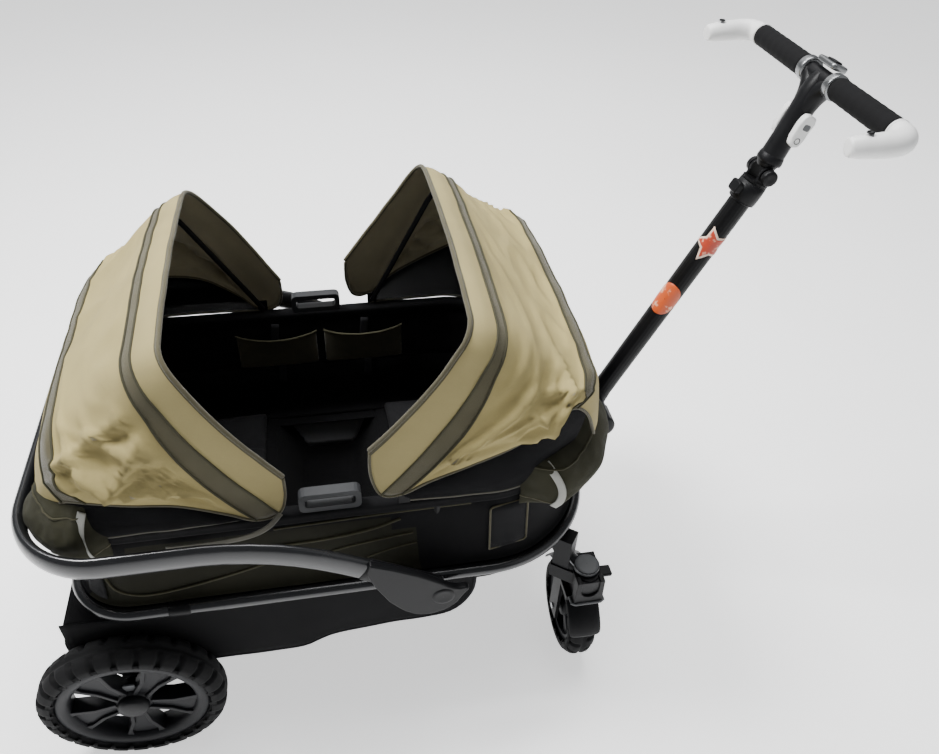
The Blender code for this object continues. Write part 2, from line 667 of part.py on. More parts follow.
def corner_pockets():
    """Four fabric pockets that bulge round the tub's corners above the lower loop."""
    bm = bmesh.new()
    for x, corner, outer, start, end in (
            (LOOP_REAR_X + LOOP_REAR_CORNER, LOOP_REAR_CORNER, 0.099, 178, 100),
            (LOOP_FRONT_X - LOOP_FRONT_CORNER, LOOP_FRONT_CORNER, 0.228, 4, 72)):
        y = LOOP_HALF_WIDTH - corner
        for way_y in (1, -1):
            band = list(arc((x, y), corner - WALL_INSET - 0.0012, start, end, 7))
            band += list(arc((x, y), outer, end, start, 5))
            face = bm.faces.new([bm.verts.new((px, way_y * py, 0.4655)) for px, py in band])
            grown = bmesh.ops.extrude_face_region(bm, geom=[face])
            up = [v for v in grown["geom"] if isinstance(v, bmesh.types.BMVert)]
            bmesh.ops.translate(bm, verts=up, vec=(0, 0, 0.085))
    return finish_mesh("pockets", bm)


# Hoods ---------------------------------------------------------------------------------
def hoods():
    """Each hood: a fixed end rib, a bow hinged on the rim, and the cloth over both."""
    for end, way in ENDS:
        def place(point):
            return Vector((HOOD_MID_X + way * point[0], point[1], point[2]))
        tube("end_rib_" + end, [arch(place(RIB_FOOT[end]), place(RIB_TOP), 0.045, 3)], BOW_R,
             BLACK_TUBE, fold_pivot, 1)
        foot = (HOOD_MID_X + way * BOW_PIVOT[0], BOW_Y, BOW_PIVOT[1])
        tube("canopy_bow_" + end, [arch(foot, place(BOW_TOP), 0.060, 3)], BOW_R, STEEL,
             on_bow[end], 1)
        hood_cloth(end, way)


def hood_cloth(end, way):
    """One skin over the ribs: visor, main panel and end wall, open to the tub below."""
    ribs = (
        ((0.062, 0.2735, 0.575), (0.211, 0.270, 0.812), 0.050),
        ((0.105, 0.2725, 0.534), (0.252, 0.2715, 0.794), 0.066),
        ((0.385, 0.2440, 0.556), (0.401, 0.2460, 0.692), 0.052),
        ((0.394, 0.2440, 0.552), (0.408, 0.2460, 0.562), 0.004),
    )
    bm = bmesh.new()
    rows = []
    for foot, top, corner in ribs:
        points = arch(foot, top, corner, 4)
        rows.append([bm.verts.new((HOOD_MID_X + way * p.x, p.y, p.z)) for p in points])
    for one, two in zip(rows, rows[1:]):
        for k in range(len(one) - 1):
            bm.faces.new((one[k], one[k + 1], two[k + 1], two[k]))
    mesh = finish_mesh("canopy", bm)
    cloth = add("canopy_" + end, mesh, KHAKI_CLOTH, fold_pivot)
    skin = cloth.modifiers.new("thickness", "SOLIDIFY")
    skin.thickness = CLOTH
    skin.offset = 0
    skin.use_even_offset = True


# Handle --------------------------------------------------------------------------------
def handle():
    """Bracket and pin, two-part pole, knuckle, head with grips, horns and cleats."""
    base = (HINGE_X, 0, HINGE_Z)
    lean = (0, POLE_LEAN, 0)
    tilt = (0, HEAD_LEAN, 0)
    cheek = [(-0.030, -0.018), (-0.062, -0.0635), (-0.040, -0.0635)]
    cheek += list(arc((0, 0), 0.025, -45, 170, 8))
    bracket = add("handle_bracket", block_mesh("handle_bracket", ((-0.061, -0.068, -0.0632),
                  (-0.042, 0.068, -0.050))), BLACK_PLASTIC, centre, base)
    for way in (1, -1):
        side = plate(f"cheek_{way}", [cheek, circle(BOLT_BORE_R, 12)], 0.040, BLACK_PLASTIC,
                     centre, (HINGE_X, way * 0.0505, HINGE_Z), UPRIGHT)
        boolean(bracket, as_cutter(side), "UNION")
    add("handle_pin", rod_mesh("handle_pin", ((0, -0.0700, 0), (0, 0.0700, 0), BOLT_R)),
        STEEL, centre, base)
    pole = turned("pole_lower", [(POLE_R, 0.505), (POLE_R, 0.017), (0.0166, 0.017),
                  (0.0166, 0.505)], 20, BLACK_TUBE, pole_pivot, base, lean)
    barrel = add("barrel", rod_mesh("barrel", ((0, -0.0300, 0), (0, 0.0300, 0), 0.0230),
                 sides=20), None, pole_pivot, base, cutter=True)
    hole = add("barrel_bore", rod_mesh("barrel_bore", ((0, -0.04, 0), (0, 0.04, 0),
               BOLT_BORE_R)), None, pole_pivot, base, cutter=True)
    boolean(pole, barrel, "UNION")
    boolean(pole, hole, "DIFFERENCE")
    turned("pole_collar", [(0.0230, 0.5045), (0.0230, 0.470), (POLE_R + GAP, 0.470),
           (POLE_R + GAP, 0.5045)], 20, BLACK_PLASTIC, pole_pivot, base, lean)

    ears = block_mesh("ears", ((-0.0115, -0.0185, -0.018), (0.0115, -0.0135, 0.0)),
                      ((-0.0115, 0.0135, -0.018), (0.0115, 0.0185, 0.0)))
    knuckle = (KNUCKLE[0], 0, KNUCKLE[1])
    inner = turned("pole_inner", [(POLE_INNER_R, 0.500), (POLE_INNER_R, 0.200),
                   (0.0130, 0.200), (0.0130, 0.500)], 16, STEEL, slide_pivot, base, lean)
    cap = turned("pole_inner_cap", [(0, 0.509), (0.0228, 0.509), (0.0228, 0.5052),
                 (0.0150, 0.5052), (0.0150, 0.4950), (0, 0.4950)], 16, None, slide_pivot,
                 base, lean, cutter=True)
    lugs = add("lugs", ears, None, slide_pivot, knuckle, lean, cutter=True)
    rounds = add("lug_rounds", rod_mesh("lug_rounds", ((0, -0.0185, 0), (0, -0.0135, 0), 0.0135),
                 ((0, 0.0135, 0), (0, 0.0185, 0), 0.0135)), None, slide_pivot, knuckle,
                 cutter=True)
    for piece in (cap, lugs, rounds):
        boolean(inner, piece, "UNION")
    for side, way in SIDES:
        add("knuckle_button_" + side, rod_mesh("knuckle_button", ((0, way * 0.0222, 0),
            (0, way * 0.0320, 0), 0.0130), sides=20), BLACK_PLASTIC, on_button[side], knuckle)

    head = add("handle_head", rod_mesh("head", ((0, 0, 0.0195), (0, 0, HEAD_LENGTH + 0.006),
               0.0185), sides=20), BLACK_PLASTIC, head_pivot, knuckle, tilt)
    tongue = add("tongue", block_mesh("tongue", ((-0.010, -0.0130, -0.004),
                 (0.010, 0.0130, 0.030))), None, head_pivot, knuckle, tilt, cutter=True)
    bar = add("cross_bar", rod_mesh("cross_bar", ((0, -0.1968, HEAD_LENGTH),
              (0, 0.1968, HEAD_LENGTH), BAR_R)), None, head_pivot, knuckle, tilt, cutter=True)
    boolean(head, tongue, "UNION")
    boolean(head, bar, "UNION")
    tee = (TEE[0], 0, TEE[1])
    low, high = GRIP_SPAN
    hook = rounded_box(-0.011, 0.011, 0.027, 0.0105, 0.0105, 3)
    at = along(HEAD_LEAN, 0.085, KNUCKLE)
    for side, way in SIDES:
        turned("grip_" + side, [(GRIP_R, (high - low) / 2), (GRIP_R, (low - high) / 2),
               (BAR_R + GAP, (low - high) / 2), (BAR_R + GAP, (high - low) / 2)], 20, FOAM,
               head_pivot, (tee[0], way * (low + high) / 2, tee[2]), UPRIGHT)
        plate("cleat_" + side, [hook, circle(0.0035, 8, (0, -0.016))], 0.013, WHITE_PLASTIC,
              head_pivot, (at[0], way * 0.0255, at[1]), (math.pi / 2, HEAD_LEAN, 0))
        horn(side, way)
    lever = add("release_lever", block_mesh("lever", ((-0.010, -0.024, 0.0180),
                (0.018, 0.024, 0.0285))), GREY_PLASTIC, lever_pivot, tee, tilt)
    bevelled(lever, 0.003, 1)


def horn(side, way):
    """A white end piece that turns back from the bar's end."""
    x, z = TEE
    path = [(0.000, 0.1975), (0.000, 0.2080), (-0.003, 0.2200), (-0.012, 0.2290),
            (-0.026, 0.2330), (-0.050, 0.2325), (-0.086, 0.2290)]
    tube("horn_" + side, [[(x + px, way * py, z + 0.05 * px) for px, py in path]], 0.0170,
         WHITE_PLASTIC, head_pivot, 2, [1.0, 1.04, 1.08, 1.06, 1.0, 0.98, 0.86])


lower_frame()
casters()
rear_wheels()
brake()
tub()
hoop()
upper_frame()
hoods()
handle()
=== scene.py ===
import json
import math

import bmesh
import bpy
import numpy as np
from mathutils import Matrix, Vector, noise

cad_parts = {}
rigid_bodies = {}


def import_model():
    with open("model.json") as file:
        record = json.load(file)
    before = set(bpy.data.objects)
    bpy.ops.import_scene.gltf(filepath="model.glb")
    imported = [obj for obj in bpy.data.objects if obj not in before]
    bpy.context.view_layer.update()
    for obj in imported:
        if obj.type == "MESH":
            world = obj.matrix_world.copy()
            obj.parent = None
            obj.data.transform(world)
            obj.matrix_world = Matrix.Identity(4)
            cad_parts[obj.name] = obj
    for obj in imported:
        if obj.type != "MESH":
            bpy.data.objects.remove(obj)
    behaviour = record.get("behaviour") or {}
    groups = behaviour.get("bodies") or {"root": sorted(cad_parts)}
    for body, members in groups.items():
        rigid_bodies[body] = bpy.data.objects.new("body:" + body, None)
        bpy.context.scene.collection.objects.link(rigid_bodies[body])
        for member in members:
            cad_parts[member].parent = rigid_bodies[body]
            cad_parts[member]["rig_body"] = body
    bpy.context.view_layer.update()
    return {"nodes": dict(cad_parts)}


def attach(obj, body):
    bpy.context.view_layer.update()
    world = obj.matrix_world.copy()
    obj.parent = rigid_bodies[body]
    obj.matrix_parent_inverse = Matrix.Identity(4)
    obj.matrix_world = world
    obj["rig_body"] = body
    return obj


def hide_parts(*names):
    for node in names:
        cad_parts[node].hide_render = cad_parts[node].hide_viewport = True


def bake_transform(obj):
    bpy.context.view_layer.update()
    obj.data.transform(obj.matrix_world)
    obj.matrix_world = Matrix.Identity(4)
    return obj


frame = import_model()
T = -0.1553                      # the tub's centre in the object's frame
SIDES = (("left", 1), ("right", -1))


# Materials -----------------------------------------------------------------------------
class Nodes:
    """A material's node tree, with short calls for the nodes used here."""

    def __init__(self, name):
        self.mat = bpy.data.materials.new(name)
        self.mat.use_nodes = True
        self.tree = self.mat.node_tree
        self.shader = self.tree.nodes["Principled BSDF"]
        self.coord = self.tree.nodes.new("ShaderNodeTexCoord").outputs["Object"]

    def node(self, kind, **values):
        made = self.tree.nodes.new(kind)
        for key, value in values.items():
            if hasattr(made, key):
                setattr(made, key, value)
            else:
                made.inputs[key.replace("_", " ")].default_value = value
        return made

    def link(self, out, socket):
        self.tree.links.new(out, socket)

    def noise(self, scale, detail=3.0, rough=0.6):
        made = self.node("ShaderNodeTexNoise", Scale=scale, Detail=detail, Roughness=rough)
        self.link(self.coord, made.inputs["Vector"])
        return made.outputs["Fac"]

    def wave(self, scale, direction, distortion=0.0):
        made = self.node("ShaderNodeTexWave", Scale=scale, Distortion=distortion)
        made.bands_direction = direction
        self.link(self.coord, made.inputs["Vector"])
        return made.outputs["Fac"]

    def math(self, operation, a, b):
        made = self.node("ShaderNodeMath", operation=operation)
        for socket, value in zip(made.inputs, (a, b)):
            if isinstance(value, (int, float)):
                socket.default_value = value
            else:
                self.link(value, socket)
        return made.outputs[0]

    def ramp(self, fac, *stops):
        made = self.node("ShaderNodeValToRGB")
        while len(made.color_ramp.elements) < len(stops):
            made.color_ramp.elements.new(0.5)
        for element, (at, colour) in zip(made.color_ramp.elements, stops):
            element.position = at
            element.color = (*colour, 1) if len(colour) == 3 else colour
        self.link(fac, made.inputs["Fac"])
        return made.outputs["Color"]

    def bump(self, height, strength, distance):
        made = self.node("ShaderNodeBump", Strength=strength, Distance=distance)
        self.link(height, made.inputs["Height"])
        self.link(made.outputs["Normal"], self.shader.inputs["Normal"])

    def finish(self, colour, rough, metallic=0.0, **more):
        self.link(colour, self.shader.inputs["Base Color"])
        if isinstance(rough, (int, float)):
            self.shader.inputs["Roughness"].default_value = rough
        else:
            self.link(rough, self.shader.inputs["Roughness"])
        self.shader.inputs["Metallic"].default_value = metallic
        for key, value in more.items():
            self.shader.inputs[key.replace("_", " ")].default_value = value
        return self.mat


def shade(colour, factor):
    return tuple(min(1.0, c * factor) for c in colour)


def cloth_material(name, colour, spread=0.16, weave=1150, rough=0.85, sheen=0.25, bump=0.5):
    """Woven cloth: crossing threads, faint fading and creases of tone."""
    n = Nodes(name)
    cloud = n.noise(9, 4, 0.6)
    speck = n.noise(420, 2, 0.7)
    threads = n.math("MULTIPLY", n.wave(weave, "X", 1.2), n.wave(weave, "Z", 1.2))
    tone = n.math("ADD", n.math("MULTIPLY", cloud, 0.72), n.math("MULTIPLY", speck, 0.28))
    base = n.ramp(tone, (0.28, shade(colour, 1 - spread)), (0.52, colour),
                  (0.76, shade(colour, 1 + spread)))
    height = n.math("ADD", n.math("MULTIPLY", threads, 0.6), n.math("MULTIPLY", speck, 0.6))
    n.bump(height, bump, 0.0006)
    dark = max(colour) < 0.06
    return n.finish(base, n.math("ADD", n.math("MULTIPLY", speck, 0.18), rough - 0.09),
                    Sheen_Weight=sheen * (0.15 if dark else 1), Sheen_Roughness=0.45,
                    Specular_IOR_Level=0.12 if dark else 0.3)


def plastic_material(name, colour, rough=0.5, grain=900, bump=0.25, metallic=0.0, wear=0.25,
                     coat=0.0):
    """Moulded or painted surface with a fine grain, dulled and lightened in patches."""
    n = Nodes(name)
    cloud = n.noise(14, 5, 0.65)
    fine = n.noise(grain, 2, 0.6)
    base = n.ramp(cloud, (0.30, shade(colour, 1 - wear)), (0.55, colour),
                  (0.80, shade(colour, 1 + wear * 1.6)))
    n.bump(n.math("ADD", fine, n.math("MULTIPLY", cloud, 0.4)), bump, 0.0003)
    return n.finish(base, n.math("ADD", n.math("MULTIPLY", cloud, 0.22), rough - 0.11),
                    metallic, Coat_Weight=coat, Coat_Roughness=0.25,
                    Specular_IOR_Level=0.16 if max(colour) < 0.05 and not metallic else 0.5)


def mesh_material(name, colour, cell=420.0, hole=0.62, solid=0.45):
    """Open netting: a woven grid whose holes let light through."""
    n = Nodes(name)
    grid = n.math("MAXIMUM", n.wave(cell, "X"), n.wave(cell, "Z"))
    cloud = n.noise(11, 3, 0.6)
    n.link(n.ramp(grid, (hole - 0.12, (solid,) * 3), (hole, (1.0,) * 3)),
           n.shader.inputs["Alpha"])
    n.bump(grid, 0.5, 0.0006)
    return n.finish(n.ramp(cloud, (0.3, shade(colour, 0.8)), (0.7, shade(colour, 1.3))), 0.8,
                    Specular_IOR_Level=0.08)


KHAKI = cloth_material("khaki_canopy", (0.345, 0.283, 0.118), 0.16, rough=0.84, sheen=0.04)
VISOR = cloth_material("khaki_visor", (0.330, 0.275, 0.122), 0.12, rough=0.82, sheen=0.04)
TRIM = cloth_material("olive_trim", (0.076, 0.067, 0.036), 0.20, rough=0.86)
OLIVE = cloth_material("olive_pocket", (0.030, 0.029, 0.017), 0.30, rough=0.84)
DARK_OLIVE = cloth_material("dark_olive_panel", (0.013, 0.0125, 0.007), 0.35, rough=0.8)
PIPING = cloth_material("olive_piping", (0.050, 0.047, 0.028), 0.2, rough=0.7)
BLACK = cloth_material("black_cloth", (0.0042, 0.0042, 0.0048), 0.40, rough=0.82, sheen=0.10)
# canopy lining: the cloth's own khaki, lightened to paint the glow of light shining through the
# canopy
LINING_WITH_PAINTED_GLOW = cloth_material("canopy_lining_painted_glow", (0.300, 0.262, 0.165), 0.18, rough=0.85)
WEB = cloth_material("webbing", (0.020, 0.020, 0.022), 0.3, 2200, 0.7, 0.1, 0.8)
BINDING = cloth_material("grey_binding", (0.085, 0.080, 0.060), 0.15, 1800, 0.75)
REFLECT = cloth_material("reflective_tape", (0.33, 0.33, 0.30), 0.12, 2600, 0.36, 0.0, 0.4)
SEAT = cloth_material("seat_cloth", (0.011, 0.011, 0.012), 0.3, 1300, 0.8, 0.12)
INNER_OLIVE = cloth_material("inner_olive", (0.062, 0.055, 0.030), 0.35, rough=0.8)
GREY_PANEL = cloth_material("grey_panel", (0.150, 0.153, 0.160), 0.2, 1500, 0.6)
NET = mesh_material("netting", (0.020, 0.020, 0.021))
NET_BLACK = mesh_material("black_netting", (0.0035, 0.0035, 0.0042), 620.0, 0.50, 0.80)
TUBE = plastic_material("black_tube_coat", (0.014, 0.0145, 0.016), 0.24, 1500, 0.06, 0.35, 0.1,
                        0.35)
MATT_TUBE = plastic_material("matt_tube_coat", (0.0030, 0.0030, 0.0036), 0.46, 1500, 0.12, 0.0,
                             0.15)
STEEL = plastic_material("bright_steel", (0.50, 0.51, 0.52), 0.28, 700, 0.12, 1.0, 0.15)
MOULD = plastic_material("black_moulding", (0.0055, 0.0056, 0.0064), 0.42, 850, 0.35, 0.0, 0.3)
WHEEL = plastic_material("wheel_moulding", (0.0085, 0.0088, 0.0105), 0.45, 800, 0.3, 0.0, 0.3)
GREY = plastic_material("grey_moulding", (0.032, 0.033, 0.035), 0.34, 800, 0.25, 0.0, 0.15)
PALE = plastic_material("pale_boss", (0.085, 0.088, 0.092), 0.5, 800, 0.25, 0.0, 0.15)
SILVER = plastic_material("silver_collar", (0.24, 0.245, 0.25), 0.30, 800, 0.15, 0.9, 0.15)
WHITE = plastic_material("white_moulding", (0.80, 0.80, 0.79), 0.38, 900, 0.2, 0.0, 0.06, 0.2)
RUBBER = plastic_material("tyre_rubber", (0.0085, 0.0085, 0.0090), 0.78, 500, 0.7, 0.0, 0.35)
FOAM = plastic_material("grip_foam", (0.0055, 0.0055, 0.0060), 0.92, 650, 0.9, 0.0, 0.3)


def sticker_material(name, colour, edge):
    n = Nodes(name)
    cloud = n.noise(60, 3, 0.6)
    base = n.ramp(cloud, (0.36, colour), (0.56, colour), (0.66, edge))
    return n.finish(base, 0.42)


STAR = sticker_material("sticker_star", (0.44, 0.045, 0.018), (0.78, 0.40, 0.28))
STAR_EDGE = sticker_material("sticker_star_edge", (0.74, 0.55, 0.44), (0.80, 0.66, 0.55))
ROUND = sticker_material("sticker_round", (0.56, 0.085, 0.016), (0.82, 0.45, 0.30))


# Shapes --------------------------------------------------------------------------------
def at(x, y, z):
    return Vector((x + T, y, z))


def place(name, mesh, look, body, slot=None, smooth=True):
    made = bpy.data.objects.new(name, mesh)
    bpy.context.scene.collection.objects.link(made)
    for one in (look if isinstance(look, (list, tuple)) else [look]):
        mesh.materials.append(one)
    for face in mesh.polygons:
        face.use_smooth = smooth
    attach(made, body)
    return made


def bend(made, first, second, start, end):
    """Takes a placed piece off its body and bakes its transform into its mesh."""
    made.parent = None
    del made["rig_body"]
    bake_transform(made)
    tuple(start)
    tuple(end)


def grid(name, points, look, body, slot=None, thick=0.0, wrap=False, subdiv=0, pick=None):
    """A skin over an array of points (rows, columns, 3). `wrap` joins the last column to
    the first, and `pick` gives each face's material."""
    points = np.asarray(points, float)
    rows, cols = points.shape[:2]
    faces, slots = [], []
    for i in range(rows - 1):
        for j in range(cols if wrap else cols - 1):
            a, b = i + 1, (j + 1) % cols
            faces.append((i * cols + j, i * cols + b, a * cols + b, a * cols + j))
            slots.append(pick(i, j) if pick else 0)
    mesh = bpy.data.meshes.new(name)
    mesh.from_pydata(points.reshape(-1, 3).tolist(), [], faces)
    mesh.update()
    made = place(name, mesh, look, body, slot)
    for face, number in zip(mesh.polygons, slots):
        face.material_index = number
    if thick:
        skin = made.modifiers.new("thick", "SOLIDIFY")
        skin.thickness, skin.offset = thick, 0
    if subdiv:
        soft = made.modifiers.new("soft", "SUBSURF")
        soft.levels = soft.render_levels = subdiv
    return made


def extended(points):
    """The points with one more before and after, for a curve that passes through them all."""
    pts = np.asarray(points, float)
    return np.vstack([2 * pts[0] - pts[1], pts, 2 * pts[-1] - pts[-2]])


def catmull_rom(a, b, c, d, t):
    """The curve's point at `t` between b and c."""
    return 0.5 * (2 * b + (c - a) * t + (2 * a - 5 * b + 4 * c - d) * t * t
                  + (3 * b - a - 3 * c + d) * t ** 3)


def spline(points, count):
    """`count` points along a smooth curve through `points`, evenly spaced."""
    ext = extended(points)
    out = [catmull_rom(*ext[i:i + 4], t) for i in range(len(ext) - 3)
           for t in np.linspace(0, 1, 12, endpoint=False)]
    return even(out + [ext[-2]], count)


def spline_at(points, wanted):
    """Curve values at `wanted` (0 to 1), with `points` evenly spaced along it."""
    ext = extended(points)
    out = []
    for w in wanted:
        s = w * (len(ext) - 3)
        i = min(int(s), len(ext) - 4)
        out.append(catmull_rom(*ext[i:i + 4], s - i))
    return np.array(out)


def even(points, count):
    """Points spaced evenly along a polyline."""
    points = np.asarray(points, float)
    run = np.concatenate([[0], np.cumsum(np.linalg.norm(np.diff(points, axis=0), axis=1))])
    at_run = np.linspace(0, run[-1], count)
    return np.stack([np.interp(at_run, run, points[:, k]) for k in range(points.shape[1])], 1)


def frames(points, up=(0, 0, 1)):
    """Unit side and lift vectors along a path."""
    points = np.asarray(points, float)
    ahead = np.gradient(points, axis=0)
    ahead /= np.linalg.norm(ahead, axis=1)[:, None]
    side = np.cross(np.tile(up, (len(points), 1)), ahead)
    side /= np.maximum(np.linalg.norm(side, axis=1)[:, None], 1e-6)
    return ahead, side, np.cross(ahead, side)


def sweep(name, points, radius, look, body, slot=None, sides=12, up=(0, 0, 1), flat=None,
          caps=True, subdiv=0):
    """A tube along a path; `radius` may vary and `flat` squeezes it across or along."""
    points = np.asarray([tuple(p) for p in points], float)
    radius = np.broadcast_to(radius, (len(points),))
    _, side, lift = frames(points, up)
    wide, tall = flat or (1, 1)
    ang = np.linspace(0, 2 * math.pi, sides, endpoint=False)
    ring = (points[:, None] + radius[:, None, None] * (
        side[:, None] * np.cos(ang)[None, :, None] * wide
        + lift[:, None] * np.sin(ang)[None, :, None] * tall))
    if caps:
        ahead = frames(points, up)[0]
        first = points[0] - ahead[0] * radius[0] * 0.35
        last = points[-1] + ahead[-1] * radius[-1] * 0.35
        front = [first + (ring[0] - points[0]) * k for k in (0.02, 0.6, 0.9)]
        back = [last + (ring[-1] - points[-1]) * k for k in (0.9, 0.6, 0.02)]
        ring = np.concatenate([front, ring, back])
    return grid(name, ring, look, body, slot, wrap=True, subdiv=subdiv)


def lathe(name, profile, matrix, look, body, slot=None, steps=48, bumps=None):
    """A profile of (radius, along) turned about `matrix`'s Z; `bumps` changes each point."""
    profile = np.asarray(profile, float)
    points = np.zeros((len(profile), steps, 3))
    for j in range(steps):
        ang = 2 * math.pi * j / steps
        for i, (r, z) in enumerate(profile):
            if bumps:
                r, z = bumps(i, ang, r, z)
            points[i, j] = matrix @ Vector((r * math.cos(ang), r * math.sin(ang), z))
    return grid(name, points, look, body, slot, wrap=True)


def raised(name, outline, low, high, matrix=None):
    """A mesh that fills a flat outline between two heights."""
    bm = bmesh.new()
    face = bm.faces.new([bm.verts.new((x, y, low)) for x, y in outline])
    grown = bmesh.ops.extrude_face_region(bm, geom=[face])
    bmesh.ops.translate(bm, vec=(0, 0, high - low),
                        verts=[v for v in grown["geom"] if isinstance(v, bmesh.types.BMVert)])
    bmesh.ops.recalc_face_normals(bm, faces=bm.faces)
    if matrix:
        bm.transform(matrix)
    mesh = bpy.data.meshes.new(name)
    bm.to_mesh(mesh)
    bm.free()
    return mesh


def slab(name, outline, low, high, matrix, look, body, slot=None, bevel=0.001, segments=2):
    """A flat outline raised between two heights, its edges softened."""
    made = place(name, raised(name, outline, low, high, matrix), look, body, slot)
    edge = made.modifiers.new("edge", "BEVEL")
    edge.width, edge.segments, edge.limit_method = bevel, segments, "ANGLE"
    edge.harden_normals = False
    made.modifiers.new("keen", "WEIGHTED_NORMAL").keep_sharp = False
    return made


def ring(radius, count, centre, start, span):
    """Points along an arc, in degrees from +X."""
    turns = [math.radians(start + span * k / (count - 1)) for k in range(count)]
    return [(centre[0] + radius * math.cos(a), centre[1] + radius * math.sin(a))
            for a in turns]


def soft_box(wide, tall, corner, steps=4):
    """A rectangle outline round the origin with rounded corners."""
    out = []
    for sx, sy, start in ((1, 1, 0), (-1, 1, 90), (-1, -1, 180), (1, -1, 270)):
        out += ring(corner, steps + 1, (sx * (wide / 2 - corner), sy * (tall / 2 - corner)),
                    start, 90)
    return out


def axes(origin, x, y, z):
    """A matrix whose columns are the given axes and origin."""
    made = Matrix.Identity(4)
    for k, vec in enumerate((x, y, z, origin)):
        for row in range(3):
            made[row][k] = vec[row]
    return made


def facing(origin, way):
    """Looks at a side from outside: X along the wagon, Y up, Z out to the `way` side."""
    return axes(origin, (-way, 0, 0), (0, 0, 1), (0, way, 0))


def outward(origin, way):
    """Along the handle's bar: X up, Y forward, Z out to the `way` side."""
    return axes(origin, (0, 0, 1), (1, 0, 0), (0, way, 0))


def strap(name, points, width, thick, look, body, slot=None, across=(0, 1, 0)):
    """Flat webbing of a given width along a path, with a soft thickness."""
    points = np.asarray([tuple(p) for p in points], float)
    points = spline(points, 4 * len(points))
    ahead = frames(points)[0]
    side = np.tile(across, (len(points), 1)).astype(float)
    side -= ahead * (side * ahead).sum(1)[:, None]
    side /= np.linalg.norm(side, axis=1)[:, None]
    steps = np.linspace(-width / 2, width / 2, 5)[None, :, None]
    rows = points[:, None] + side[:, None] * steps
    return grid(name, rows, look, body, slot, thick=thick)


# Camera, floor and light ---------------------------------------------------------------
FOCAL_PIXELS, PHOTO_WIDTH = 814.29, 939


def camera():
    """The photograph's viewpoint, fitted to the wagon's wheels, rims and handle."""
    az, el, roll = (math.radians(v) for v in (12.281, -40.2234, 2.7108))
    ahead = Vector((math.sin(az) * math.cos(el), math.cos(az) * math.cos(el), math.sin(el)))
    side = Vector((math.cos(az), -math.sin(az), 0))
    up = side.cross(ahead)
    right = side * math.cos(roll) + up * math.sin(roll)
    top = up * math.cos(roll) - side * math.sin(roll)
    data = bpy.data.cameras.new("camera")
    data.sensor_width = 36.0
    data.lens = FOCAL_PIXELS / PHOTO_WIDTH * data.sensor_width
    data.clip_start, data.clip_end = 0.05, 60
    made = bpy.data.objects.new("camera", data)
    made.matrix_world = axes(at(0.0241, -1.1134, 1.4715), right, top, -ahead)
    bpy.context.scene.collection.objects.link(made)
    bpy.context.scene.camera = made


def stage():
    """A plain pale floor, a dim studio sky and four soft lamps."""
    n = Nodes("pale_floor")
    floor = n.finish(n.ramp(n.noise(2, 2, 0.5), (0.3, (0.90, 0.90, 0.90)),
                            (0.7, (0.93, 0.93, 0.93))), 0.9, Emission_Strength=0.95,
                     Emission_Color=(1, 1, 1, 1))
    mesh = bpy.data.meshes.new("floor")
    mesh.from_pydata([(-9, -9, 0), (9, -9, 0), (9, 9, 0), (-9, 9, 0)], [], [(0, 1, 2, 3)])
    mesh.materials.append(floor)
    made = bpy.data.objects.new("floor", mesh)
    bpy.context.scene.collection.objects.link(made)
    world = bpy.data.worlds.new("studio")
    world.use_nodes = True
    world.node_tree.nodes["Background"].inputs["Color"].default_value = (0.93, 0.96, 1.0, 1)
    world.node_tree.nodes["Background"].inputs["Strength"].default_value = 0.26
    bpy.context.scene.world = world
    for name, where, energy, size in (
            ("key", (-1.3, 0.4, 2.9), 125, 0.8), ("fill", (2.2, -1.8, 2.0), 7, 2.2),
            ("back", (0.3, 2.4, 2.4), 22, 2.4), ("top", (0.3, 0.6, 3.6), 110, 2.0)):
        data = bpy.data.lights.new(name, "AREA")
        data.energy, data.size = energy, size
        lamp = bpy.data.objects.new(name, data)
        lamp.location = where
        lamp.rotation_euler = (Vector((0, 0, 0.4)) - Vector(where)).to_track_quat(
            "-Z", "Y").to_euler()
        bpy.context.scene.collection.objects.link(lamp)


camera()
stage()


# Kept CAD pieces -----------------------------------------------------------------------
def repaint(look, *nodes):
    """Gives CAD pieces a look; it shows on those that no drawn piece replaces."""
    for name in nodes:
        made = frame["nodes"][name]
        made.data.materials.clear()
        made.data.materials.append(look)


def both(*names):
    return [f"{name}_{side}" for name in names for side, _ in SIDES]


repaint(TUBE, "lower_loop_rear", "lower_loop_front", "hoop_tube")
repaint(MATT_TUBE, "rear_cross_frame", "front_cross_frame", "rim_rear", "rim_front",
        "end_rib_rear", "end_rib_front", "pole_lower", "pole_inner", "brake_pedal",
        "canopy_bow_rear", "canopy_bow_front")
repaint(STEEL, "rear_axle", "handle_pin", *both("hoop_pin", "caster_bolt"))
repaint(MOULD, "handle_bracket", "pole_collar", *both("hoop_cover", "caster_housing",
        "caster_fork", "knuckle_button", "swivel_lock"))
repaint(GREY, *both("grab_handle"), "release_lever")
repaint(WHEEL, *both("hub_cap"))
repaint(WHITE, *both("horn", "cleat"))
repaint(FOAM, *both("grip"))
repaint(BLACK, "tub_tray", "seat_pad_rear", "seat_pad_front", "upper_walls", *both("skirt"))


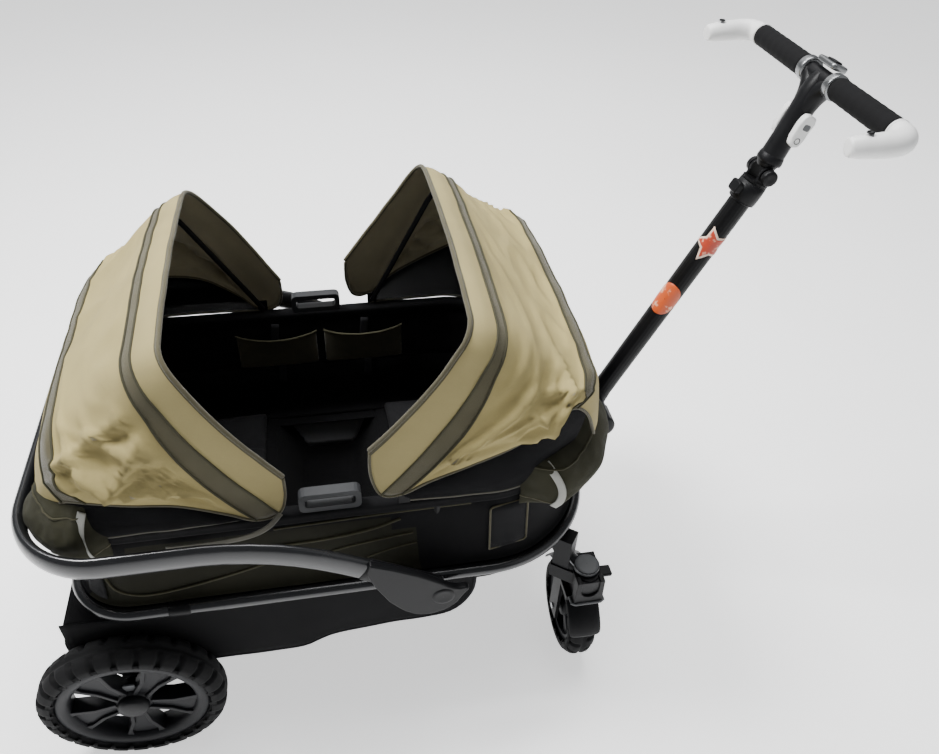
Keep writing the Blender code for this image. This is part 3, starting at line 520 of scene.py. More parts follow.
# Wheels --------------------------------------------------------------------------------
def tyre(name, matrix, radius, inner, width, blocks, body, steps, side_cut):
    """A tyre with chunky blocks that reach down its shoulders."""
    half = width / 2
    outline = [(inner, half - 0.010), (inner + 0.004, half - 0.004), (inner + 0.012, half),
               (radius - 0.024, half + 0.0005), (radius - 0.0235, half + 0.0012),
               (radius - 0.013, half - 0.0005), (radius - 0.0125, half - 0.0008),
               (radius - 0.006, half - 0.0045), (radius - 0.0016, half - 0.0105),
               (radius - 0.0004, half - 0.0150), (radius, half * 0.30),
               (radius, half * 0.22), (radius, half * 0.10)]
    outline += [(r, -z) for r, z in reversed(outline)]
    middle = len(outline) / 2 - 0.5

    def bumps(i, ang, r, z):
        side = 1 if i < middle else -1
        depth = abs(i - middle)
        turn = (ang * blocks / (2 * math.pi) + (0.5 if side < 0 else 0)) % 1
        groove = min(1.0, max(0.0, (0.115 - abs(turn - 0.5)) / 0.035))
        if 2.4 < depth < 8.6:
            r -= groove * side_cut
            if depth > 5:
                z -= side * groove * 0.0035
        if depth < 1.4:
            second = (ang * blocks / (2 * math.pi) + 0.25) % 0.5
            r -= 0.0035 if depth < 0.6 else side_cut * 0.6 * (second < 0.09)
        return r, z

    return lathe(name, outline, matrix, RUBBER, body, "tread", steps, bumps=bumps)


def spoked_rim(name, matrix, radius, body):
    """A dished rim, a hub and five wide two-ribbed spokes with webs between the ribs."""
    face = 0.020
    lathe(name + "_ring", [(radius - 0.013, -face + 0.002), (radius + 0.001, -face),
          (radius + 0.010, -face + 0.0005), (radius + 0.010, face - 0.0005),
          (radius + 0.004, face + 0.0020), (radius - 0.002, face + 0.0022),
          (radius - 0.009, face + 0.0005), (radius - 0.015, face - 0.006),
          (radius - 0.015, -face + 0.004), (radius - 0.013, -face + 0.002)],
          matrix, WHEEL, body, "black_plastic", 72)
    lathe(name + "_hub", [(0.0098, -0.020), (0.026, -0.020), (0.031, -0.012), (0.032, 0.006),
          (0.0305, 0.0125), (0.024, 0.0165), (0.0098, 0.0172)], matrix, WHEEL, body,
          "black_plastic", 36)
    for k in range(5):
        turn = matrix @ Matrix.Rotation(math.radians(-90 + 72 * k), 4, "Z")
        for way in (1, -1):
            base, tip = 0.0105, 0.0270
            outline = [(0.026, way * (base - 0.0035)), (0.026, way * (base + 0.0035)),
                       (0.060, way * (base + 0.0068)), (radius - 0.020, way * (tip + 0.004)),
                       (radius - 0.012, way * (tip + 0.012)),
                       (radius - 0.012, way * (tip - 0.007)),
                       (radius - 0.026, way * (tip - 0.006)), (0.064, way * (base + 0.0005))]
            if way < 0:
                outline.reverse()
            slab(f"{name}_rib_{k}_{'a' if way > 0 else 'b'}", outline, -0.012, 0.0165, turn,
                 WHEEL, body, "black_plastic", 0.0014)
        web = [(0.026, -0.009), (radius - 0.013, -0.024), (radius - 0.013, 0.024),
               (0.026, 0.009)]
        slab(f"{name}_web_{k}", web, -0.008, 0.0120, turn, WHEEL, body, "black_plastic",
             0.001)
    top = matrix @ Matrix.Rotation(math.radians(90), 4, "Z")
    return slab(name + "_plate", [(0.038 + x, y) for x, y in soft_box(0.017, 0.020, 0.002, 2)],
                0.0055, 0.0095, top, PALE, body, "grey_plastic", 0.0008)


def wheels():
    for side, way in SIDES:
        centre = at(-0.357, way * 0.3265, 0.150)
        body = f"rear_wheel_{side}"
        look = facing(centre, way)
        made = tyre("rear_tread_" + side, look, 0.150, 0.1215, 0.055, 26, body, 312, 0.0065)
        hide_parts("rear_tyre_" + side)
        rim = spoked_rim("rear_wheel_" + side, look, 0.1140, body)
        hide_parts("rear_rim_" + side)
        cap = lathe("hub_dome_" + side, [(0.0005, 0.0302), (0.010, 0.0300), (0.019, 0.0285),
                    (0.0245, 0.0255), (0.0258, 0.0205), (0.0262, 0.0165)], look, MOULD, body,
                    "grey_plastic", 36)
        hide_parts("hub_cap_" + side)
        body = f"front_wheel_{side}"
        centre = at(0.440, way * 0.232, 0.095)
        look = axes(centre, (0, 1, 0), (0, 0, 1), (1, 0, 0))
        made = tyre("front_tread_" + side, look, 0.095, 0.0725, 0.050, 18, body, 216, 0.005)
        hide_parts("front_tyre_" + side)
        rim = lathe("front_ring_" + side, [(0.058, -0.019), (0.073, -0.020), (0.073, 0.020),
                    (0.066, 0.0205), (0.058, 0.017), (0.056, 0.010), (0.056, -0.010),
                    (0.058, -0.019)], look, WHEEL, body, "black_plastic", 48)
        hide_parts("front_rim_" + side)
        lathe("front_hub_" + side, [(0.0066, -0.020), (0.020, -0.019), (0.024, -0.010),
              (0.024, 0.010), (0.020, 0.019), (0.0066, 0.020)], look, WHEEL, body,
              "black_plastic", 24)
        for k in range(5):
            turn = look @ Matrix.Rotation(math.radians(72 * k + 18), 4, "Z")
            slab(f"front_spoke_{side}_{k}", [(0.020, -0.008), (0.060, -0.012), (0.060, 0.012),
                 (0.020, 0.008)], -0.013, 0.013, turn, WHEEL, body, "black_plastic", 0.003)


# Casters -------------------------------------------------------------------------------
def casters():
    for side, way in SIDES:
        stem = at(0.440, way * 0.272, 0)
        lathe("caster_boss_" + side, [(0.0005, 0.2752), (0.0150, 0.2752),
              (0.0190, 0.2748), (0.0222, 0.2738), (0.0232, 0.2715), (0.0233, 0.266)],
              Matrix.Translation(stem), PALE, "chassis", "grey_plastic", 40)
        look = facing(stem + Vector((0, way * 0.0255, 0)), way)
        yoke = [(-0.0255, 0.266), (-0.0268, 0.212), (-0.0285, 0.2065), (0.0285, 0.2065),
                (0.0268, 0.212), (0.0255, 0.266)]
        notch = ring(0.0160, 11, (0, 0.240), 180, 180) + [(0.0160, 0.2655), (-0.0160, 0.2655)]
        slab("caster_yoke_" + side, notch_out(yoke, notch), -0.006, 0.0105, look, MOULD,
             "chassis", "black_plastic", 0.0016)
        lathe("caster_drum_" + side, [(0.0160, 0.214), (0.0195, 0.216), (0.0205, 0.24),
              (0.0215, 0.266)], Matrix.Translation(stem + Vector((0, way * 0.010, 0))),
              MOULD, "chassis", "black_plastic", 32)
        sweep("caster_lip_" + side,
              [stem + Vector((x, way * y, 0.2065)) for x, y in
               ((-0.030, 0.020), (-0.030, 0.034), (-0.024, 0.0375), (0.024, 0.0375),
                (0.030, 0.034), (0.030, 0.020))], 0.0026, PALE, "chassis",
              "grey_plastic", 8)
        shell_points = []
        for k in range(13):
            ang = math.radians(18 + 144 * k / 12)
            row = []
            for j in range(7):
                across = (j - 3) / 3
                drop = 0.004 * across ** 2
                radius = 0.1025 - drop
                row.append(at(0.440 + across * 0.0310,
                              way * (0.232 - radius * math.cos(ang)),
                              0.095 + radius * math.sin(ang)))
            shell_points.append(row)
        grid("caster_fender_" + side, shell_points, MOULD, "caster_" + side, "black_plastic",
             thick=0.0035, subdiv=1)
        arm = [at(0.441, way * 0.268, 0.2475), at(0.415, way * 0.251, 0.262),
               at(0.398, way * 0.236, 0.292), at(0.390, way * 0.228, 0.318)]
        sweep("caster_arm_" + side, spline(arm, 14), [0.0175] * 6 + [0.0165] * 8, MOULD,
              "chassis", "black_plastic", 16, flat=(1.0, 0.95))
        line = [p + Vector((0.0, way * 0.0158, 0.009)) for p in arm[:3]]
        sweep("caster_arm_line_" + side, spline(line, 12), 0.0012, SILVER, "chassis",
              "steel", 8)


def notch_out(outline, notch):
    """One outline that runs down round a notch in its top edge."""
    left = [p for p in outline if p[0] < 0]
    right = [p for p in outline if p[0] > 0]
    dip = sorted(notch[:11], key=lambda p: p[0])
    return (left + right + [(0.0160, right[-1][1])] + list(reversed(dip))
            + [(-0.0160, left[0][1])])


# Handle --------------------------------------------------------------------------------
LEAN, TILT = math.radians(25.2), math.radians(20.1)     # the pole and its head, from upright


def up_line(lean, length, start=(0.512, 0.415)):
    """(x, z) at a length along a leaning line; it starts at the handle's hinge."""
    return (start[0] + length * math.sin(lean), start[1] + length * math.cos(lean))


KNUCKLE = up_line(LEAN, 0.5247)
TEE = up_line(TILT, 0.160, KNUCKLE)


def on_head(u, y, s):
    """A point in the head's frame: u ahead of the stem, y to the left, s up from the knuckle."""
    x, z = up_line(TILT, s, KNUCKLE)
    return at(x + u * math.cos(TILT), y, z - u * math.sin(TILT))


def on_pole(u, y, s):
    """The same in the pole's frame, s up from the hinge."""
    x, z = up_line(LEAN, s)
    return at(x + u * math.cos(LEAN), y, z - u * math.sin(LEAN))


def head_axes(u, y, s):
    side = Vector((math.cos(TILT), 0, -math.sin(TILT)))
    rise = Vector((math.sin(TILT), 0, math.cos(TILT)))
    return axes(on_head(u, y, s), side, (0, 1, 0), rise)


def pole_axes(u, y, s):
    side = Vector((math.cos(LEAN), 0, -math.sin(LEAN)))
    rise = Vector((math.sin(LEAN), 0, math.cos(LEAN)))
    return axes(on_pole(u, y, s), side, (0, 1, 0), rise)


def handle_side(side, way, body):
    """One half of the head: fillet, collar, grip, white bar end, cleat and button."""
    fillet = [on_head(0, way * y, s) for y, s in ((0.004, 0.112), (0.011, 0.134),
              (0.022, 0.150), (0.036, 0.158), (0.044, 0.160))]
    sweep("head_fillet_" + side, spline(fillet, 12),
          np.linspace(0.0165, 0.0150, 12), MOULD, body, "black_plastic", 16,
          up=(1, 0, 0.1), subdiv=1)
    collar = outward(on_head(0, way * 0.0400, 0.160), way)
    lathe("head_collar_" + side, [(0.0140, -0.0090), (0.0185, -0.0085), (0.0196, -0.0065),
          (0.0198, 0.0040), (0.0190, 0.0060), (0.0140, 0.0062)], collar, SILVER, body,
          "steel", 36)
    grip = outward(on_head(0, way * 0.1225, 0.160), way)
    half = 0.0748
    profile = [(0.0136, -half), (0.0163, -half), (0.0175, -half + 0.0020)]
    profile += [(0.0175 + 0.00022 * math.sin(k * 1.7), -half + 0.002 + k * 0.00503)
                for k in range(1, 29)]
    profile += [(0.0175, half - 0.0020), (0.0160, half), (0.0136, half)]
    made = lathe("foam_grip_" + side, profile, grip, FOAM, body, "foam", 40)
    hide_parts("grip_" + side)
    path = [(0.0, 0.1965), (0.0, 0.2060), (-0.003, 0.2180), (-0.012, 0.2270),
            (-0.026, 0.2310), (-0.045, 0.2312), (-0.066, 0.2295), (-0.084, 0.2278)]
    points = spline([at(TEE[0] + px, way * py, TEE[1] + 0.05 * px) for px, py in path], 26)
    radius = np.interp(np.linspace(0, 1, 26), [0, 0.1, 0.3, 0.6, 0.9, 1],
                       [0.0172, 0.0176, 0.0182, 0.0172, 0.0158, 0.0140])
    horn = sweep("bar_end_" + side, points, radius, WHITE, body, "white_plastic", 24,
                 subdiv=1)
    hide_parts("horn_" + side)
    joint = outward(on_head(0, way * 0.1970, 0.160), way)
    lathe("bar_end_lip_" + side, [(0.0166, 0), (0.0181, 0.0004), (0.0181, 0.0024),
          (0.0172, 0.0030)], joint, WHITE, body, "white_plastic", 36)
    screw = Matrix.Translation(at(TEE[0] - 0.064, way * 0.2294, TEE[1] + 0.0133))
    lathe("bar_end_screw_" + side, [(0.0001, 0.0012), (0.0028, 0.0014), (0.0036, 0.0034),
          (0.0046, 0.0036), (0.0052, 0.0020)], screw, MOULD, body, "black_plastic", 20)
    hook = axes(on_head(0.001, way * 0.0255, 0.0835),
                (math.cos(TILT), 0, -math.sin(TILT)),
                (math.sin(TILT), 0, math.cos(TILT)), (0, way, 0))
    outline = [(-0.0105, 0.020), (-0.0125, 0.010), (-0.0120, -0.012), (-0.0085, -0.0235),
               (0.0, -0.0272), (0.0085, -0.0235), (0.0120, -0.012), (0.0118, 0.004),
               (0.0135, 0.016), (0.0105, 0.0245), (0.0010, 0.0270), (-0.0070, 0.0255)]
    cleat = slab("cleat_hook_" + side, outline if way < 0 else outline[::-1], -0.0062,
                 0.0068, hook, WHITE, body, "white_plastic", 0.0028, 3)
    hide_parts("cleat_" + side)
    lathe("cleat_eye_" + side, [(0.0002, 0.0048), (0.0030, 0.0050), (0.0042, 0.0074),
          (0.0052, 0.0072)], hook @ Matrix.Translation((0, -0.015, 0)), MOULD, body,
          "black_plastic", 20)
    slab("cleat_recess_" + side, soft_box(0.012, 0.010, 0.003, 3), 0.0060, 0.0074,
         hook @ Matrix.Translation((0.002, 0.008, 0)), PALE, body, "grey_plastic", 0.0006)
    knob = outward(at(KNUCKLE[0], way * 0.0222, KNUCKLE[1]), way)
    button = lathe("knuckle_knob_" + side, [(0.0130, 0), (0.0134, 0.004),
                   (0.0130, 0.0075), (0.0112, 0.0095), (0.0060, 0.0088),
                   (0.0002, 0.0086)], knob, MOULD, "knuckle_button_" + side, "black_plastic", 32)
    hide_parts("knuckle_button_" + side)


def handle():
    """The head with its lever, then the pole's fittings."""
    body = "handle_head"
    stem = sweep("head_stem", [on_head(0, 0, s) for s in
                 (0.014, 0.020, 0.030, 0.060, 0.095, 0.118, 0.135, 0.150, 0.162)],
                 [0.0175, 0.0195, 0.0198, 0.0188, 0.0188, 0.0195, 0.0205, 0.0190, 0.0150],
                 MOULD, body, "black_plastic", 24, up=(0, 1, 0), subdiv=1)
    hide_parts("handle_head")
    sweep("head_bar", [on_head(0, y, 0.160) for y in np.linspace(-0.2, 0.2, 21)], 0.0134,
          MOULD, body, "black_plastic", 20, up=(0, 0, 1))
    for side, way in SIDES:
        handle_side(side, way, body)
    lever = slab("thumb_lever", soft_box(0.030, 0.050, 0.008, 4), 0.0178, 0.0270,
                 head_axes(0.003, 0, 0.160), SILVER, "release_lever", "grey_plastic", 0.003, 3)
    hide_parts("release_lever")
    slab("thumb_pad", soft_box(0.016, 0.026, 0.006, 4), 0.0268, 0.0292,
         head_axes(0.004, 0, 0.160), MOULD, "release_lever", "black_plastic", 0.001)
    lathe("head_cup", [(0.0190, 0.017), (0.0212, 0.018), (0.0218, 0.022), (0.0205, 0.030),
          (0.0192, 0.032)], head_axes(0, 0, 0), MOULD, body, "black_plastic", 36)
    lathe("pole_ferrule", [(0.0186, 0.468), (0.0215, 0.469), (0.0236, 0.474),
          (0.0240, 0.490), (0.0232, 0.5035), (0.0190, 0.5044)], pole_axes(0, 0, 0), MOULD,
          "pole_lower", "black_plastic", 36)
    slab("pole_clamp", soft_box(0.020, 0.026, 0.005, 3), 0.0180, 0.0300,
         axes(on_pole(0, 0, 0.487), (math.sin(LEAN), 0, math.cos(LEAN)), (0, 1, 0),
              (-math.cos(LEAN), 0, math.sin(LEAN))), MOULD, "pole_lower",
         "black_plastic", 0.002)
    stickers()
    root = spline([on_pole(0, 0, s) for s in (-0.012, 0.004, 0.020, 0.036)], 10)
    sweep("pole_root", root, np.linspace(0.0225, 0.0190, 10), MOULD, "pole_lower",
          "black_plastic", 24, up=(0, 1, 0))
    for side, way in SIDES:
        hub = axes(at(0.512, way * 0.0715, 0.415), (1, 0, 0), (0, 0, 1), (0, way, 0))
        lathe("hinge_cap_" + side, [(0.0245, -0.002), (0.0240, 0.0010), (0.0185, 0.0028),
              (0.0060, 0.0030), (0.0002, 0.0022)], hub, MOULD, "chassis", "black_plastic", 32)


def patch(name, outline, s, turn, look, proud):
    """A thin sticker wrapped round the pole: outline in metres round and along it."""
    outline = even(list(outline) + [outline[0]], 61)[:-1]
    base = pole_axes(0, 0, s)
    rows = []
    for scale in (1.0, 0.97, 0.8, 0.6, 0.4, 0.2, 0.02):
        r = 0.0186 + proud * (1 if scale < 1 else 0.3)
        rows.append([base @ Vector((r * math.cos(turn + x * scale / 0.0186),
                                    r * math.sin(turn + x * scale / 0.0186), y * scale))
                     for x, y in outline])
    return grid(name, rows, look, "pole_lower", "black_tube", wrap=True)


def star(outer, inner, turn):
    """A five-pointed outline."""
    return [((outer if k % 2 else inner) * math.sin(turn + math.pi * k / 5),
             (outer if k % 2 else inner) * math.cos(turn + math.pi * k / 5))
            for k in range(10)]


def stickers():
    """A star with a pale edge, and a round patch behind it."""
    turn = math.radians(-112)
    patch("sticker_star_back", star(0.0340, 0.0180, 0.2), 0.384, turn, STAR_EDGE, 0.0006)
    patch("sticker_star_front", star(0.0275, 0.0140, 0.2), 0.384, turn, STAR, 0.0011)
    patch("sticker_round_back", [(0.0270 * math.cos(a), 0.0310 * math.sin(a)) for a in
          np.linspace(0, 2 * math.pi, 28, endpoint=False)], 0.262, turn - 0.5, ROUND, 0.0006)


wheels()
casters()
handle()


# Canopies ------------------------------------------------------------------------------
MID = 0.004                      # x between the two hoods
# Each station: foot, side bulge and top corner as (toward the end, out, up), corner radius.
REAR_HOOD = (
    ((0.069, 0.262, 0.576), (0.136, 0.268, 0.684), (0.206, 0.244, 0.794), 0.042),
    ((0.070, 0.266, 0.535), (0.146, 0.274, 0.660), (0.227, 0.247, 0.788), 0.050),
    ((0.082, 0.272, 0.507), (0.162, 0.279, 0.636), (0.244, 0.250, 0.777), 0.056),
    ((0.116, 0.276, 0.502), (0.190, 0.284, 0.624), (0.258, 0.250, 0.768), 0.058),
    ((0.156, 0.285, 0.534), (0.226, 0.291, 0.634), (0.289, 0.247, 0.740), 0.062),
    ((0.216, 0.292, 0.570), (0.274, 0.298, 0.636), (0.328, 0.244, 0.702), 0.060),
    ((0.280, 0.292, 0.582), (0.326, 0.294, 0.628), (0.358, 0.240, 0.676), 0.052),
    ((0.336, 0.282, 0.586), (0.364, 0.278, 0.620), (0.376, 0.236, 0.662), 0.044),
    ((0.370, 0.264, 0.574), (0.388, 0.256, 0.606), (0.392, 0.230, 0.648), 0.040),
    ((0.403, 0.246, 0.548), (0.411, 0.236, 0.575), (0.412, 0.216, 0.610), 0.036),
    ((0.424, 0.226, 0.528), (0.427, 0.219, 0.542), (0.427, 0.202, 0.566), 0.030),
)
FRONT_HOOD = (
    ((0.060, 0.262, 0.611), (0.132, 0.270, 0.702), (0.210, 0.262, 0.812), 0.042),
    ((0.060, 0.266, 0.560), (0.144, 0.276, 0.676), (0.231, 0.267, 0.806), 0.050),
    ((0.074, 0.272, 0.522), (0.164, 0.281, 0.650), (0.249, 0.270, 0.794), 0.056),
    ((0.106, 0.276, 0.523), (0.192, 0.286, 0.640), (0.262, 0.270, 0.786), 0.058),
    ((0.150, 0.285, 0.556), (0.226, 0.294, 0.652), (0.292, 0.267, 0.762), 0.060),
    ((0.210, 0.290, 0.586), (0.280, 0.301, 0.662), (0.334, 0.263, 0.730), 0.056),
    ((0.274, 0.290, 0.616), (0.332, 0.296, 0.668), (0.368, 0.256, 0.708), 0.046),
    ((0.332, 0.282, 0.652), (0.370, 0.278, 0.676), (0.388, 0.248, 0.702), 0.026),
    ((0.366, 0.268, 0.660), (0.392, 0.260, 0.676), (0.403, 0.240, 0.694), 0.018),
    ((0.396, 0.252, 0.628), (0.410, 0.242, 0.646), (0.419, 0.222, 0.664), 0.018),
    ((0.422, 0.228, 0.562), (0.427, 0.220, 0.576), (0.430, 0.204, 0.592), 0.016),
)


def station(foot, side, top, corner):
    """One arch over the hood, from the near foot (y below 0) to the far one."""
    foot, side, top = (np.array(p, float) for p in (foot, side, top))
    crown = np.array([top[0] + 0.002, 0.0, top[2] + 0.010])
    leg = top - side
    leg /= np.linalg.norm(leg)
    over = crown - top
    over /= np.linalg.norm(over)
    start, end = top - leg * corner, top + over * corner
    bezier = [(1 - s) ** 2 * start + 2 * s * (1 - s) * top + s * s * end
              for s in np.linspace(0, 1, 7)]
    wall = [(1 - s) ** 2 * foot + 2 * s * (1 - s) * (2 * side - (foot + start) / 2)
            + s * s * start for s in np.linspace(0, 1, 9)][:-1]
    roof = [end + (crown - end) * s for s in np.linspace(0, 1, 6)[1:]]
    for k, point in enumerate(roof):
        point[2] += 0.004 * math.sin(math.pi * (k + 1) / 5)
    parts = even(wall + bezier[:1], 8)[:-1], even(bezier, 6), even(np.vstack([bezier[-1:],
                                                                            roof]), 5)[1:]
    half = np.vstack(parts)
    far = half[-2::-1] * (1, -1, 1)
    line = np.vstack([half, far])
    line[:, 1] *= -1
    return line


def hood_points(stations, end, rows):
    """All stations, splined into a dense grid, with the cloth's sags and creases."""
    way = -1 if end == "rear" else 1
    coarse = np.array([station(*s) for s in stations])
    points = np.transpose(np.array([spline_at(coarse[:, j], np.linspace(0, 1, rows))
                                    for j in range(coarse.shape[1])]), (1, 0, 2))
    cols = 97
    points = np.array([even(spline_at(line, np.linspace(0, 1, cols)), cols)
                       for line in points])
    across = np.gradient(points, axis=1)
    along = np.gradient(points, axis=0)
    normal = np.cross(across, along)
    normal /= np.maximum(np.linalg.norm(normal, axis=2)[..., None], 1e-9)
    centre = np.array([0.22, 0, 0.60])
    flip = np.sign(((points - centre) * normal).sum(2).mean())
    normal *= flip
    moved = points.copy()
    for i in range(rows):
        u = i / (rows - 1)
        for j in range(cols):
            v = j / (cols - 1)
            p = Vector(points[i, j])
            q = Vector((p.x * way, p.y, p.z))
            body = smooth(u, 0.30, 0.42) * (1 - smooth(u, 0.66, 0.74))
            reach = min(v, 1 - v)
            low = (1 - smooth(reach, 0.12, 0.28)) * smooth(reach, 0.012, 0.06)
            calm = smooth(reach, 0.0, 0.05)
            push = 0.0022 * noise.noise(q * 9 + Vector((3, 1, 7)))
            push -= 0.0050 * body * (0.5 + noise.noise(q * 7 + Vector((9, 2, 4))))
            fold = q.x * 0.9 - q.z * 1.1 + 0.25 * q.y
            crease = 1 - abs(noise.noise(Vector((fold * 15, q.y * 5, q.z * 4))))
            push += body * (0.0060 + 0.0150 * low) * (max(crease, 0) ** 6 - 0.25)
            second = 1 - abs(noise.noise(Vector((q.x * 6, q.z * 17 + q.x * 9, 5 + q.y * 3))))
            push += body * low * 0.0185 * (max(second, 0) ** 9 - 0.14)
            third = 1 - abs(noise.noise(Vector((q.x * 9 + q.z * 4, q.z * 36 - q.x * 14,
                                                q.y * 4))))
            push += (body * low + 0.25 * body) * 0.0070 * (max(third, 0) ** 9 - 0.15)
            push += 0.0016 * (1 - body) * noise.noise(q * 24)
            moved[i, j] += normal[i, j] * push * calm
    moved[..., 0] = MID + way * moved[..., 0] + T
    return moved, normal * (way, 1, 1)


def smooth(value, low, high):
    """Rises softly from 0 at `low` to 1 at `high`."""
    t = min(1.0, max(0.0, (value - low) / (high - low)))
    return t * t * (3 - 2 * t)


def hood_blend(made, end):
    """Takes a hood piece off its body and bakes its transform into its mesh, through bend."""
    way = -1 if end == "rear" else 1
    bend(made, "upper_frame", "canopy_bow_" + end, at(MID + way * 0.37, 0, 0.60),
             at(MID + way * 0.20, 0, 0.60))


def hood(end, stations):
    """One canopy in its visor, trim and khaki bands, with its piping and hems."""
    rows = 81
    points, normal = hood_points(stations, end, rows)
    bands = ((0.0, 0.022, 1), (0.022, 0.195, 0), (0.195, 0.300, 1), (0.300, 0.700, 2),
             (0.700, 0.820, 1), (0.820, 1.01, 2))

    def pick(i, _):
        u = (i + 0.5) / (rows - 1)
        return next(slot for low, high, slot in bands if low <= u < high)

    name = "canopy_" + end + "_cloth"
    cloth = grid(name, points, [VISOR, TRIM, KHAKI, LINING_WITH_PAINTED_GLOW, LINING_WITH_PAINTED_GLOW, LINING_WITH_PAINTED_GLOW], "upper_frame",
                 "khaki_cloth", pick=pick)
    bm = bmesh.new()
    bm.from_mesh(cloth.data)
    bmesh.ops.recalc_face_normals(bm, faces=bm.faces)
    bm.to_mesh(cloth.data)
    bm.free()
    # the inner faces take the lining colour, which holds painted glow of light through the cloth
    skin = cloth.modifiers.new("thick", "SOLIDIFY")
    skin.thickness, skin.offset, skin.material_offset = 0.0016, 0.0, 3
    mid = points[:, points.shape[1] // 2]
    long_way = np.linalg.norm(np.diff(mid, axis=0), axis=1).sum()
    wide_way = max(np.linalg.norm(np.diff(points[k], axis=0), axis=1).sum()
                   for k in range(0, rows, 10))
    area = patch_area(points)
    long_way = max(long_way, area / wide_way * 1.02)
    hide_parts("canopy_" + end)
    hood_blend(cloth, end)

    for tag, u, radius, look, lift in (
            ("edge_roll", 0.004, 0.0036, TRIM, 0), ("bow_piping_a", 0.197, 0.0019, PIPING, 0.0016),
            ("bow_piping_b", 0.298, 0.0019, PIPING, 0.0016),
            ("end_piping_a", 0.702, 0.0019, PIPING, 0.0016),
            ("end_piping_b", 0.818, 0.0017, PIPING, 0.0014)):
        row = int(round(u * (rows - 1)))
        made = sweep(f"canopy_{end}_{tag}", points[row] + normal[row] * lift, radius, look,
                     "upper_frame", "khaki_cloth", 8, up=(0.2, 0.1, 0.9))
        hood_blend(made, end)
    for side, column in (("right", 0), ("left", -1)):
        line = points[:, column][int(0.02 * rows):]
        made = sweep(f"canopy_{end}_hem_{side}", line, 0.0026, TRIM, "upper_frame",
                     "khaki_cloth", 8, up=(0, 0, 1))
        hood_blend(made, end)
    return points


def stretch_panels(end, points):
    """Black netting that runs from each side's hem down to the rim."""
    way = -1 if end == "rear" else 1
    rows = points.shape[0]
    for side, column, out in (("right", 0, -1), ("left", -1, 1)):
        hem = points[int(0.30 * rows):int(0.90 * rows), column]
        hem = even(hem, 29)
        grid_points = []
        for k, p in enumerate(hem):
            s = k / 28
            x = p[0] - T
            foot_x = x - way * 0.004 * s
            foot_y = wall_half_width(foot_x, 0.030) + 0.005 * math.sin(math.pi * s)
            foot = np.array([foot_x + T, out * foot_y, 0.500 + 0.004 * math.sin(s * 5)])
            column_points = []
            for v in np.linspace(0, 1, 13):
                q = p * (1 - v) + foot * v
                bulge = math.sin(math.pi * v) ** 0.8 * 0.012 * min(1, s * 5)
                q[1] += out * bulge
                q[2] -= 0.0015 * math.sin(9 * s + 5 * v)
                q += np.array([0, out * 0.0020 * noise.noise(Vector(q) * 22), 0])
                column_points.append(q)
            grid_points.append(column_points)
        made = grid(f"stretch_panel_{end}_{side}", grid_points, NET_BLACK, "upper_frame",
                    "khaki_cloth", thick=0.0010, subdiv=1)
        area = patch_area(grid_points)
        hood_blend(made, end)
        edge = sweep(f"stretch_binding_{end}_{side}", [row[-1] for row in grid_points],
                     0.0024, BINDING, "upper_frame", "khaki_cloth", 8)
        hood_blend(edge, end)


def patch_area(rows):
    """The area of a skin over rows of points."""
    points = np.array([[tuple(p) for p in row] for row in rows])
    cross = np.cross(np.diff(points, axis=0)[:, :-1], np.diff(points, axis=1)[:-1])
    return float(np.linalg.norm(cross, axis=2).sum())


# Tub -----------------------------------------------------------------------------------
# The lower loop's centre line: its ends, half width, corner radii and height.
REAR_END, FRONT_END, LOOP_HALF = -0.417, 0.450, 0.300
REAR_CORNER, FRONT_CORNER, LOOP_Z = 0.100, 0.200, 0.340
ROUND_TUB = 192                  # points round each wall of the tub


def plan(inset, count):
    """The tub's outline in wagon coordinates, from the middle of the right side, rearward."""
    rear, front, half = REAR_END + inset, FRONT_END - inset, LOOP_HALF - inset
    rear_c, front_c = max(REAR_CORNER - inset, 0.01), max(FRONT_CORNER - inset, 0.01)
    pts = [(0.0, -half)]
    pts += ring(rear_c, 13, (rear + rear_c, -half + rear_c), 270, -90)
    pts += ring(rear_c, 13, (rear + rear_c, half - rear_c), 180, -90)
    pts += ring(front_c, 19, (front - front_c, half - front_c), 90, -90)
    pts += ring(front_c, 19, (front - front_c, -half + front_c), 0, -90)
    pts.append((0.0, -half))
    return even(pts, count + 1)[:-1]


def wall_half_width(x, inset):
    """Half the tub's width at x, for an outline `inset` inside the loop."""
    rear, front, half = REAR_END + inset, FRONT_END - inset, LOOP_HALF - inset
    rear_c, front_c = REAR_CORNER - inset, FRONT_CORNER - inset
    if x < rear + rear_c:
        reach = min(rear_c, rear + rear_c - x)
        return half - rear_c + math.sqrt(max(0, rear_c ** 2 - reach ** 2))
    if x > front - front_c:
        reach = min(front_c, x - (front - front_c))
        return half - front_c + math.sqrt(max(0, front_c ** 2 - reach ** 2))
    return half


def ring_wall(name, levels, look, body, thick=0.0016, ripple=0.0015, pick=None):
    """A cloth wall round the tub through (inset, z) levels, with soft ripples."""
    dense = spline([(inset, z, 0) for inset, z in levels], max(10, 5 * len(levels)))
    rows = []
    for inset, z, _ in dense:
        row = []
        for x, y in plan(inset, ROUND_TUB):
            push = 1 + ripple / 0.3 * noise.noise(Vector((x * 11, y * 11, z * 16)))
            row.append(at(x * push, y * push, z))
        rows.append(row)
    return grid(name, rows, look, body, "black_cloth", thick=thick, wrap=True, pick=pick)


def fold_blend(made, low=0.352):
    """Takes a piece of tub cloth off its body and bakes its transform into its mesh, through bend.
    """
    bend(made, "chassis", "upper_frame", (0, 0, low), (0, 0, 0.474))


# Inset from the loop and height, down the tub's outer wall.
WALL = ((0.0355, 0.4795), (0.0300, 0.462), (0.0255, 0.430), (0.0222, 0.400),
        (0.0180, 0.372), (0.0125, 0.358), (0.0060, 0.3525))


